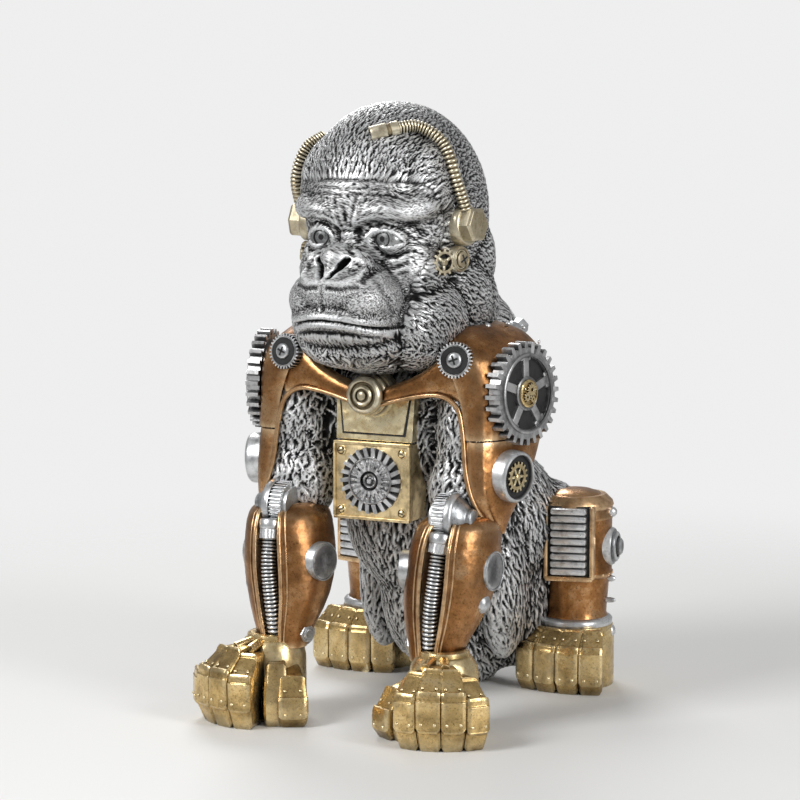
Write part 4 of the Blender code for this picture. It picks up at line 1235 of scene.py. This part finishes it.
# %% the collar gears
collar_place = frame_at((49.2, -32.6, 190.7), turned_out(8, 0.15))
collar = bmesh.new()
put(collar, gear(30, 9.4, 8.2, 6.9, -6, 1.6, 0.5), collar_place)
put(collar, turned([(7.9, -6), (7.9, 1.8), (7.5, 2.3), (7.0, 1.9), (6.9, -6)], 40), collar_place)
put(collar, turned([(4.0, -4), (4.0, 2.9), (3.6, 3.5), (2.4, 3.9)], 30), collar_place)
finish("collar_gears", both_sides(collar), SILVER, bevel=0.14)
collar_black = bmesh.new()
put(collar_black, turned([(7.2, -6), (7.2, 2.2)], 30), collar_place)
cross = collar_place @ Matrix.Rotation(0.35, 4, "Z")
put(collar_black, block((-2.5, 2.5), (-0.5, 0.5), (3.3, 4.1)), cross)
put(collar_black, block((-0.5, 0.5), (-2.5, 2.5), (3.3, 4.1)), cross)
finish("collar_gear_recesses", both_sides(collar_black), BLACK)

# %% [markdown]
# ## Chest
#
# An old gold plate hangs under the knob, with a screw in each corner and a steel gear
# with leaf-shaped teeth. Above it a tapered panel leans back towards the throat.

# %% plates
PLATE_HALF, PLATE_LOW, PLATE_TOP, PLATE_FRONT = 22, 105, 145, -30
chest = bmesh.new()
put(chest, block((-PLATE_HALF, PLATE_HALF), (PLATE_FRONT, -10), (PLATE_LOW, PLATE_TOP), 1.0))
for x in (-1, 1):
    side = sorted((x * (PLATE_HALF - 1.1), x * (PLATE_HALF + 0.3)))
    put(chest, block(side, (PLATE_FRONT - 0.8, PLATE_FRONT + 3), (PLATE_LOW + 1, PLATE_TOP - 1), 0.3))
for low, high in ((PLATE_LOW - 0.4, PLATE_LOW + 1.2), (PLATE_TOP - 1.2, PLATE_TOP + 0.4)):
    put(chest, block((-PLATE_HALF, PLATE_HALF), (PLATE_FRONT - 0.9, PLATE_FRONT + 3), (low, high), 0.3))
finish("chest_plate", chest, BRONZE)

throat = bmesh.new()
engraved = bmesh.new()
THROAT = (
    # half width at the foot and at the brim, foot, brim, how far it stands proud, piece
    (22.0, 22.6, 146, 169, 0.0, throat),
    (18.2, 20.8, 149.0, 168.5, 0.25, engraved),
    (17.2, 19.9, 150.0, 168.7, 0.7, throat),
)
for low_half, high_half, foot, brim, proud, piece in THROAT:
    ends = []
    for x in (-1, 1):
        outline = (
            (low_half, -12, foot), (low_half, -27.6 - proud, foot),
            (high_half, -25.8 - proud, brim), (high_half, -12, brim)
        )
        ends.append([Vector((x * a, b, c)) for a, b, c in outline])
    put(piece, loft(ends))
finish("throat_plate", throat, GOLD, bevel=0.35)
finish("throat_engraving", engraved, BLACK)

screws = bmesh.new()
slots = bmesh.new()
screw = [(2.5, -0.6), (2.5, 0.7), (2.1, 1.1), (1.8, 0.7), (1.7, 0.6), (1.6, 1.2), (1.2, 1.5)]
for x in (-17.6, 17.6):
    for z in (109.4, 140.4):
        place = frame_at((x, PLATE_FRONT + 0.2, z), (0, -1, 0))
        put(screws, turned(screw, 20), place)
        slot = block((-1.3, 1.3), (-0.25, 0.25), (1.0, 1.6))
        put(slots, slot, place @ Matrix.Rotation(0.7 * x, 4, "Z"))
finish("chest_screws", screws, GOLD)
finish("chest_screw_slots", slots, BLACK)

# %% the chest gear and the knob
chest_place = frame_at((0, PLATE_FRONT - 0.2, 125.6), (0, -1, 0))
chest_gear = bmesh.new()
put(chest_gear, gear(22, 17.4, 12.6, 5.2, -0.6, 1.9, 0.66, 0.05), chest_place)
put(chest_gear, turned([(12.4, 0), (12.4, 2.3), (11.9, 2.7), (11.4, 2.3), (11.4, 0)], 60), chest_place)
put(chest_gear, gear(20, 8.3, 7.1, 5.2, 1.7, 2.9, 0.5), chest_place)
hub = [(3.9, -1), (3.9, 2.2), (3.4, 2.8), (2.7, 2.4), (2.2, 1.6), (1.6, 1.8), (1.3, 3.0)]
put(chest_gear, turned(hub, 36), chest_place)
for k in range(18):
    turn = 2 * math.pi * k / 18
    spot = Matrix.Translation((9.9 * math.cos(turn), 9.9 * math.sin(turn), 1.9))
    put(chest_gear, rivet(0.75), chest_place @ spot)
finish("chest_gear", chest_gear, STEEL, bevel=0.15)
chest_well = bmesh.new()
put(chest_well, turned([(5.6, -1), (5.6, 0.9)], 36), chest_place)
put(chest_well, turned([(16.9, -1), (16.9, 0.35)], 60), chest_place)
finish("chest_gear_well", chest_well, BLACK)

knob_place = frame_at((0, -27, 170.2), (0, -1, 0.05))
knob = bmesh.new()
steps = [
    (10.4, -6), (10.4, 2.0), (9.9, 3.1), (8.6, 3.4), (8.4, 4.0), (9.2, 4.8), (9.4, 6.4), (8.8, 7.6),
    (7.7, 8.0), (7.6, 8.8)
]
steps += [
    (8.5, 9.6), (8.7, 11.6), (8.1, 13.2), (6.8, 14.0), (6.2, 13.6), (5.9, 12.6), (5.0, 12.6),
    (4.8, 14.0), (3.9, 14.8)
]
steps += [(3.2, 14.4), (3.0, 13.4), (2.2, 13.4), (2.0, 14.8), (1.2, 15.3)]
put(knob, turned([(1.14 * r, h) for r, h in steps], 56), knob_place)
finish("chest_knob", knob, BRASS, sharp=45)

# %% [markdown]
# ## Forearms
#
# Two copper shells close round each forearm and leave a slit in front, where a ribbed
# hose runs from a collar at the elbow to the wrist. A bright wheel sits at the elbow.

# %% the shells
FOREARM = (
    # height, centre x and y, half width outwards and inwards, half depth
    (111.5, 50.5, -26.5, 15, 15, 17),
    (107, 50, -28, 20, 20.5, 22.5),
    (102, 49.5, -29, 21.4, 22, 24.2),
    (96, 49, -30, 22, 23, 25),
    (88, 48.5, -31, 22.7, 24, 25),
    (80, 48, -32, 23, 24.5, 24.5),
    (72, 47.5, -34, 22, 24.2, 22.6),
    (65, 47, -36, 20.5, 23.3, 20.5),
    (57, 46.5, -39, 18.2, 21, 17.6),
    (50, 46, -42, 15.5, 18.2, 14.5),
    (44, 45.5, -44, 13.6, 15.8, 12.2),
    (38, 45, -46, 12, 14, 10),
)
ARM_ROWS = np.array(FOREARM, float)
HOSE_GAP = 15
SHELL_TURNS = (HOSE_GAP, 18, 23, 30, 40, 52, 66, 80, 94, 108, 122, 138, 155)


def forearm_point(row, way, turn, out=0.0):
    """A point on the forearm's surface, at an angle from straight ahead."""
    z, x, y, outwards, inwards, deep = row
    wide = outwards if way > 0 else inwards
    lean = math.radians(turn)
    return Vector(
        (x + way * (wide + out) * math.sin(lean) ** 0.9, y - (deep + out) * math.cos(lean), z)
    )


def arm_row(z):
    """The forearm's section at any height."""
    order = ARM_ROWS[::-1]
    return [z] + [float(np.interp(z, order[:, 0], order[:, k])) for k in range(1, 6)]


shells = bmesh.new()
for way in (1, -1):
    rings = []
    for z in np.linspace(111.5, 38, 40):
        row = arm_row(z)
        ring = [forearm_point(row, way, turn) for turn in SHELL_TURNS]
        hollow = Vector((row[1] + way * 1.5, row[2] - row[5] * 0.35, z))
        rings.append([*ring, Vector((row[1], row[2] + row[5] * 0.5, z)), hollow])
    put(shells, loft(rings))
finish("forearm_shells", both_sides(shells), COPPER, sharp=50)

# %% raised trim lines along the slit
trims = bmesh.new()
for way in (1, -1):
    for turn, radius in ((HOSE_GAP + 1, 1.2), (HOSE_GAP + 9, 0.55)):
        path = [forearm_point(arm_row(z), way, turn, 0.1) for z in np.linspace(108.5, 40, 40)]
        put(trims, tube(path, [radius] * len(path), 10))
finish("forearm_trims", both_sides(trims), COPPER, sharp=60)

# %% hoses, collars and ferrules
ARM_HOSE = ((49, -50.5, 97), (48, -54.3, 80), (46, -54.8, 62), (44.5, -52.6, 41))
hoses = bmesh.new()
put(hoses, ribbed(ARM_HOSE, 4.0, 28))
finish("arm_hoses", both_sides(hoses), SILVER, sharp=60)
collars = bmesh.new()
top = Vector(ARM_HOSE[0])
along = top - Vector(ARM_HOSE[1])
put(collars, gear(16, 5.4, 5.0, 2.0, -2.6, 2.2), frame_at(top, along))
upper_collar = [(5.0, 2), (5.6, 2.6), (5.9, 3.6), (5.9, 6.6), (5.2, 7.6), (4.2, 7.8)]
put(collars, turned(upper_collar, 32), frame_at(top, along))
ferrule = [(4.6, -1), (5.2, -0.4), (5.2, 3.4), (4.6, 4.4)]
put(collars, turned(ferrule, 28), frame_at((44.4, -52.6, 38), (0.02, -0.04, 1)))
neck = [(5.4, -9), (5.4, -2), (4.6, 0)]
put(collars, turned(neck, 28), frame_at((51, -44, 110), (0.1, -0.75, -1)))
finish("hose_collars", both_sides(collars), SILVER, bevel=0.2)

# %% elbow wheels
wheel_place = frame_at((54, -38, 111), (1, 0, 0))
wheels = bmesh.new()
put(wheels, gear(34, 12.2, 11.2, 6, -10.5, -3.6, 0.5), wheel_place)
cone = [
    (12.4, -3.4), (13.1, -2.8), (13.2, -0.6), (12.6, 0.4), (11.6, 0.9), (11.2, 0.5), (9.4, 2.6),
    (6.6, 5.4), (5.6, 5.8), (5.2, 6.4), (5.0, 8.2), (4.2, 8.9), (2, 9.1)
]
put(wheels, turned(cone, 56), wheel_place)
put(wheels, turned([(9.6, -12.6), (9.6, -10)], 40), wheel_place)
finish("elbow_wheels", both_sides(wheels), SILVER, bevel=0.2)

# %% discs, domes and wrist bolts
discs = bmesh.new()
bright = bmesh.new()
disc_rim = [(10.3, -5), (10.3, 3.6), (9.9, 4.3), (9.3, 4.1), (9.1, 3.3), (9.1, -5)]
for way in (1, -1):
    spot, turn = ((67.2, -31, 84), 88) if way > 0 else ((26.8, -38.2, 82.5), -79)
    place = frame_at(spot, turned_out(turn))
    put(discs, turned([(9.3, -5), (9.3, 3.6), (8.2, 4.1), (3, 4.4)], 40), place)
    put(bright, turned(disc_rim, 44), place)
bolt_place = frame_at((33.5, -44, 45), turned_out(-62))
put(bright, turned([(7, -5), (7, 1.2), (6.4, 1.8)], 32), bolt_place)
put(bright, turned([(4.8, 0), (4.8, 4.8), (4.2, 5.6)], 6), bolt_place)
put(bright, turned([(3.0, 5), (3.0, 6.2), (2.3, 6.8)], 20), bolt_place)
dome_place = frame_at((66.2, -37, 68), turned_out(76))
put(bright, turned([(5.2, -4), (5.2, 0.8), (4.5, 2.4), (3.0, 3.7), (1.4, 4.3)], 28), dome_place)
finish("forearm_discs", both_sides(discs), DARK)
finish("forearm_bright_fittings", both_sides(bright), SILVER, bevel=0.2)

# %% [markdown]
# ## Fists
#
# A fist is a wrist block with four fingers fanned round it and a thumb inside. Each
# finger is three riveted plates, one over the other, so its side outline has a lip at
# every joint. The outline is drawn once and swept from one side of the finger to the
# other, with chamfers at both sides.

# %% one armoured digit
def digit(place, azimuth, outline, width, narrow=0.5):
    """Sweeps a side outline across a finger that widens with its reach."""
    ahead, aside = turned_out(azimuth), turned_out(azimuth + 90)
    reach = max(q for q, _ in outline)
    middle = Vector((sum(q for q, _ in outline), sum(z for _, z in outline))) / len(outline)
    rings = []
    chamfer = ((0.5, 0.80), (0.47, 0.90), (0.38, 0.985), (0.3, 1))
    stations = [(-a, s) for a, s in chamfer] + [(0, 1.004), *reversed(chamfer)]
    for across, share in stations:
        ring = []
        for q, z in outline:
            near = middle.lerp(Vector((q, z)), share)
            sweep = across * width * (narrow + (1 - narrow) * q / reach)
            height = max(near.y, 0.0)
            ring.append(place + ahead * near.x + Vector((0, 0, height)) + aside * sweep)
        rings.append(ring)
    return loft(rings)


def plate_rivets(shape, place, azimuth, spots, width, radius=0.85):
    """Two rivets on each plate: spots are (reach, height, lean of the face)."""
    ahead, aside = turned_out(azimuth), turned_out(azimuth + 90)
    for q, z, lean in spots:
        tilt = math.radians(lean)
        facing = ahead * math.cos(tilt) + Vector((0, 0, math.sin(tilt)))
        for across in (-0.27, 0.27):
            spot = place + ahead * q + aside * across * width + Vector((0, 0, z))
            put(shape, rivet(radius), frame_at(spot, facing, (0.1, 0.2, 1)))


# %% fingers, thumbs and wrists
FIST = Vector((51, -49, 0))
FIST_RADIUS, FIST_HEIGHT = 39.5, 41
FINGERS = ((-5.5, 0.94), (13.9, 1.0), (33.3, 0.99), (52.7, 0.88))
r, h = FIST_RADIUS, FIST_HEIGHT
FINGER = [
    (8, 0), (8, h - 1.5), (20, h - 1.0), (25.0, h - 1.6), (25.4, h - 0.4), (26.6, h - 0.2),
    (27.2, h - 1.2), (27.4, h - 2.6)
]
FINGER += [(36.4, h * 0.735), (36.7, h * 0.765), (37.9, h * 0.765), (38.6, h * 0.73), (38.7, h * 0.69)]
FINGER += [
    (r * 0.985, h * 0.655), (r, h * 0.64), (r * 0.995, h * 0.30), (r * 1.0, h * 0.275),
    (r * 0.975, h * 0.245)
]
FINGER += [(r * 0.95, h * 0.235), (r * 0.945, h * 0.20), (r * 0.865, 0)]
fists = bmesh.new()
fist_rivets = bmesh.new()
for azimuth, lower in FINGERS:
    outline = [(q, z * lower) for q, z in FINGER]
    put(fists, digit(FIST, azimuth, outline, 13.1))
    spots = ((34.6, h * 0.79 * lower, 50), (r + 0.1, h * 0.36 * lower, 0))
    plate_rivets(fist_rivets, FIST, azimuth, spots, 13)
THUMB = Vector((37, -50, 0))
THUMB_OUTLINE = [
    (-8, 0), (-8, 31), (4.8, 29.4), (14.6, 25), (15.0, 26.2), (16.2, 26), (16.8, 24.4),
    (21.4, 15.6), (21.8, 16.4), (23.0, 16.2), (23.6, 14.4)
]
THUMB_OUTLINE += [(24, 13), (24, 5), (23.4, 4.4), (20.6, 0)]
put(fists, digit(THUMB, -31, THUMB_OUTLINE, 16))
plate_rivets(fist_rivets, THUMB, -31, ((24.1, 7, 0), (20.0, 19.2, 55)), 15)
KNUCKLE = [
    (6, 0), (6, 37), (12, 35), (17, 31.5), (17.6, 32.2), (19, 31.4), (24, 24), (27.4, 17),
    (28.4, 12), (28, 5), (26, 0)
]
put(fists, digit(Vector((47, -47, 0)), -27, KNUCKLE, 13))
block_profile = [
    (17, 0), (18, 10), (17.8, 32), (17, 36.5), (14.6, 41), (13.4, 42), (12.8, 44.2), (11.4, 45)
]
put(fists, turned(block_profile, 24), Matrix.Translation((50, -47, 0)))
for azimuth in (4, 30):
    ahead = turned_out(azimuth)
    path = [Vector((49, -47, 42)) + ahead * q + Vector((0, 0, -q * q * 0.006)) for q in range(2, 24, 3)]
    put(fists, tube(path, [2.6] * len(path), 10))
finish("fists", both_sides(fists), GOLD, bevel=0.28, sharp=24)
finish("fist_rivets", both_sides(fist_rivets), GOLD)

# %% [markdown]
# ## Legs and feet
#
# Each shin is a copper drum with a domed top. A ribbed silver pad fills a frame in
# front, and a stepped boss sits on the outer side. The foot below is gold, with four
# plated toes.

# %% drums
SHIN = Vector((60, 97, 0))
SHIN_TURN = math.radians(14)
shin_place = Matrix.Translation(SHIN) @ Matrix.Rotation(SHIN_TURN, 4, "Z")
drum = [
    (19, 0), (19.4, 30), (19.6, 34), (18.4, 38), (17.6, 40), (17.8, 44), (18.8, 56), (19.4, 60),
    (20.4, 60.6), (20.9, 61.6)
]
drum += [
    (20.9, 62.8), (20.4, 63.6), (20.4, 92), (20.9, 92.8), (20.7, 94.4), (19.6, 99), (17.4, 103),
    (13.6, 106.2), (8.4, 107.9), (3, 108.2)
]
shins = bmesh.new()
put(shins, turned(drum, 64), shin_place)
for x in ((-13.8, -11.4), (11.4, 13.8)):
    put(shins, block(x, (-21.8, 0), (61, 101), 0.8), shin_place)
put(shins, block((-13, 13), (-22.4, 0), (60, 62.8), 0.8), shin_place)
put(shins, turned([(17.5, 96), (20.6, 98.4), (21.2, 100), (20.6, 102), (17, 105.6)], 48), shin_place)
finish("shin_drums", both_sides(shins), COPPER, sharp=40)

# %% ribbed pads, bosses and bolts
pads = bmesh.new()
recess = bmesh.new()
BARS = 9
PAD_LOW, PAD_HIGH, PAD_HALF = 63.4, 100.6, 9.8
well = block((-PAD_HALF - 1.6, PAD_HALF + 1.6), (-20.6, 0), (PAD_LOW - 0.8, PAD_HIGH + 0.4), 0.3)
put(recess, well, shin_place)
pitch = (PAD_HIGH - PAD_LOW) / BARS
for k in range(BARS):
    z = PAD_LOW + (k + 0.5) * pitch
    bar = block((-PAD_HALF, PAD_HALF), (-24.2, -18), (z - pitch * 0.42, z + pitch * 0.42), 1.1)
    put(pads, bar, shin_place)
finish("knee_pads", both_sides(pads), SILVER)
finish("knee_pad_recesses", both_sides(recess), BLACK)
bosses = bmesh.new()
out = turned_out(100)
boss_place = frame_at(SHIN + out * 18 + Vector((0, 0, 77)), out)
boss = [
    (10.4, -5), (10.4, 3.2), (9.8, 4.2), (8.6, 4.4), (8.2, 5.8), (7.4, 6.4), (6.0, 6.4), (5.6, 5.4),
    (4.8, 5.4), (4.6, 7.8), (3.8, 8.6), (2, 8.9)
]
put(bosses, turned(boss, 44), boss_place)
for z, size in ((96, 3.0), (30, 3.6), (59, 1.8), (47, 1.5)):
    place = frame_at(SHIN + out * (18.6 if z != 96 else 18.9) + Vector((0, 0, z)), out)
    put(bosses, turned([(size, -3), (size, 1.8), (size * 0.8, 3.4), (size * 0.4, 4.4)], 24), place)
finish("shin_bosses", both_sides(bosses), SILVER)
ring_rivets = bmesh.new()
for k in range(22):
    turn = 2 * math.pi * k / 22
    spot = shin_place @ Vector((20.8 * math.cos(turn), 20.8 * math.sin(turn), 62.2))
    put(ring_rivets, rivet(0.8), frame_at(spot, spot - SHIN - Vector((0, 0, 62.2))))
finish("shin_ring_rivets", both_sides(ring_rivets), COPPER)

# %% feet
FOOT = Vector((63, 120, 0))
R = 58
TOE = [
    (26, 0), (26, 32), (R - 13.6, 33.4), (R - 12.6, 34.2), (R - 11.4, 34), (R - 10.9, 32.8),
    (R - 3.0, 25.8), (R - 2.8, 26.8), (R - 1.6, 26.8)
]
TOE += [(R - 0.8, 25.6), (R - 0.6, 24), (R, 23), (R, 5.6), (R - 0.6, 4.8), (R - 3.2, 0)]
feet = bmesh.new()
foot_rivets = bmesh.new()
for k in range(4):
    azimuth = -20 + k * 13.4
    put(feet, digit(FOOT, azimuth, TOE, 13.5))
    plate_rivets(foot_rivets, FOOT, azimuth, ((R + 0.1, 8.5, 0), (R - 6.6, 29.6, 48)), 13.2)
ankle = [(21.6, 0), (21.9, 4), (21.9, 31), (21.2, 33.4), (20.2, 34.2)]
put(feet, turned(ankle, 40), Matrix.Translation(SHIN))
finish("feet", both_sides(feet), GOLD, bevel=0.28, sharp=24)
finish("foot_rivets", both_sides(foot_rivets), GOLD)
ankles = bmesh.new()
ankle_ring = [(20.6, 33), (20.9, 34.2), (20.9, 36.4), (20.2, 37.4), (18, 38.4)]
put(ankles, turned(ankle_ring, 56), Matrix.Translation(SHIN))
finish("ankle_rings", both_sides(ankles), SILVER)

# %% bolts behind the shoulders
back_bolts = bmesh.new()
back_place = frame_at((46, 46, 198), (0.25, 0.8, 0.5))
put(back_bolts, turned([(6.5, -9), (6.5, 1.2), (6.0, 2)], 32), back_place)
put(back_bolts, turned([(4.6, 1), (4.6, 7.2), (4.0, 8)], 6), back_place)
finish("back_bolts", both_sides(back_bolts), SILVER, bevel=0.25)

# %% [markdown]
# ## Floor, light and camera
#
# The floor and the background are plain and pale, and the floor turns clear further out,
# so that no edge of it shows. The camera sees a paler background than the one that
# lights the ornament, and three soft lamps give the rest of the light.

# %% floor
FADE_STARTS, FADE_ENDS = 0.22, 0.75


def plain_floor():
    """A flat floor that turns clear between two distances, in metres."""
    shape = bmesh.new()
    bmesh.ops.create_grid(shape, x_segments=1, y_segments=1, size=6)
    data = bpy.data.meshes.new("floor")
    shape.to_mesh(data)
    shape.free()
    floor = bpy.data.objects.new("floor", data)
    bpy.context.scene.collection.objects.link(floor)
    paint = bpy.data.materials.new("pale_floor")
    paint.use_nodes = True
    shader = paint.node_tree.nodes["Principled BSDF"]
    shader.inputs["Base Color"].default_value = (0.72, 0.72, 0.71, 1)
    shader.inputs["Roughness"].default_value = 0.6
    tree = paint.node_tree
    place = node(tree, "ShaderNodeTexCoord").outputs["Object"]
    far = node(tree, "ShaderNodeVectorMath", {"operation": "LENGTH"}, {0: place}).outputs["Value"]
    fade = node(
        tree, "ShaderNodeMapRange", {"interpolation_type": "SMOOTHSTEP"},
        {"Value": far, "From Min": FADE_STARTS, "From Max": FADE_ENDS}
    )
    clear = node(tree, "ShaderNodeBsdfTransparent")
    blend = node(
        tree, "ShaderNodeMixShader",
        inputs={0: fade.outputs["Result"], 1: shader.outputs[0], 2: clear.outputs[0]}
    )
    tree.links.new(blend.outputs[0], tree.nodes["Material Output"].inputs["Surface"])
    data.materials.append(paint)


plain_floor()


# %% background and lamps
WORLD_LIGHT = 0.36
SEEN_GREY = (0.86, 0.86, 0.86, 1)


def background():
    """Even light from all round, and a pale grey for the camera."""
    world = bpy.data.worlds.new("studio")
    bpy.context.scene.world = world
    world.use_nodes = True
    tree = world.node_tree
    light = tree.nodes["Background"]
    light.inputs["Color"].default_value = (1, 1, 1, 1)
    light.inputs["Strength"].default_value = WORLD_LIGHT
    seen = node(tree, "ShaderNodeBackground", inputs={"Color": SEEN_GREY, "Strength": 1.0})
    ray = node(tree, "ShaderNodeLightPath")
    either = node(
        tree, "ShaderNodeMath", {"operation": "MAXIMUM"},
        {0: ray.outputs["Is Camera Ray"], 1: ray.outputs["Is Transmission Ray"]}
    )
    blend = node(
        tree, "ShaderNodeMixShader",
        inputs={0: either.outputs[0], 1: light.outputs[0], 2: seen.outputs[0]}
    )
    tree.links.new(blend.outputs[0], tree.nodes["World Output"].inputs["Surface"])


def lamp(name, place, target, size, power):
    """A soft rectangular lamp: metres and watts."""
    data = bpy.data.lights.new(name, "AREA")
    data.shape = "RECTANGLE"
    data.size, data.size_y = size
    data.energy = power
    lit = bpy.data.objects.new(name, data)
    bpy.context.scene.collection.objects.link(lit)
    lit.location = place
    lit.rotation_euler = (Vector(target) - Vector(place)).to_track_quat("-Z", "Y").to_euler()


background()
MIDDLE = (0, 0, 0.17)
lamp("key_lamp", (-0.55, -1.1, 1.0), MIDDLE, (0.5, 0.7), 15)
lamp("side_lamp", (1.2, -0.35, 0.6), MIDDLE, (0.4, 0.9), 9)
lamp("rear_lamp", (-0.7, 0.9, 0.9), MIDDLE, (0.6, 0.5), 7)


# %% camera
LENS, SENSOR = 129.15, 36
CAMERA_SPOT = (676.0, -1335.4, 349.7)
CAMERA_TARGET = (1.0, 0.5, 164.2)


def photograph_camera():
    """The view of the photograph; places are in drawing millimetres."""
    data = bpy.data.cameras.new("camera")
    camera = bpy.data.objects.new("camera", data)
    bpy.context.scene.collection.objects.link(camera)
    data.sensor_width = SENSOR
    data.lens = LENS
    data.clip_start, data.clip_end = 0.05, 50
    slide = Vector((0, SLIDE, 0))
    place = (Vector(CAMERA_SPOT) + slide) * MM
    target = (Vector(CAMERA_TARGET) + slide) * MM
    camera.location = place
    camera.rotation_euler = (target - place).to_track_quat("-Z", "Y").to_euler()
    bpy.context.scene.camera = camera
    bpy.context.scene.view_settings.view_transform = "Standard"


photograph_camera()
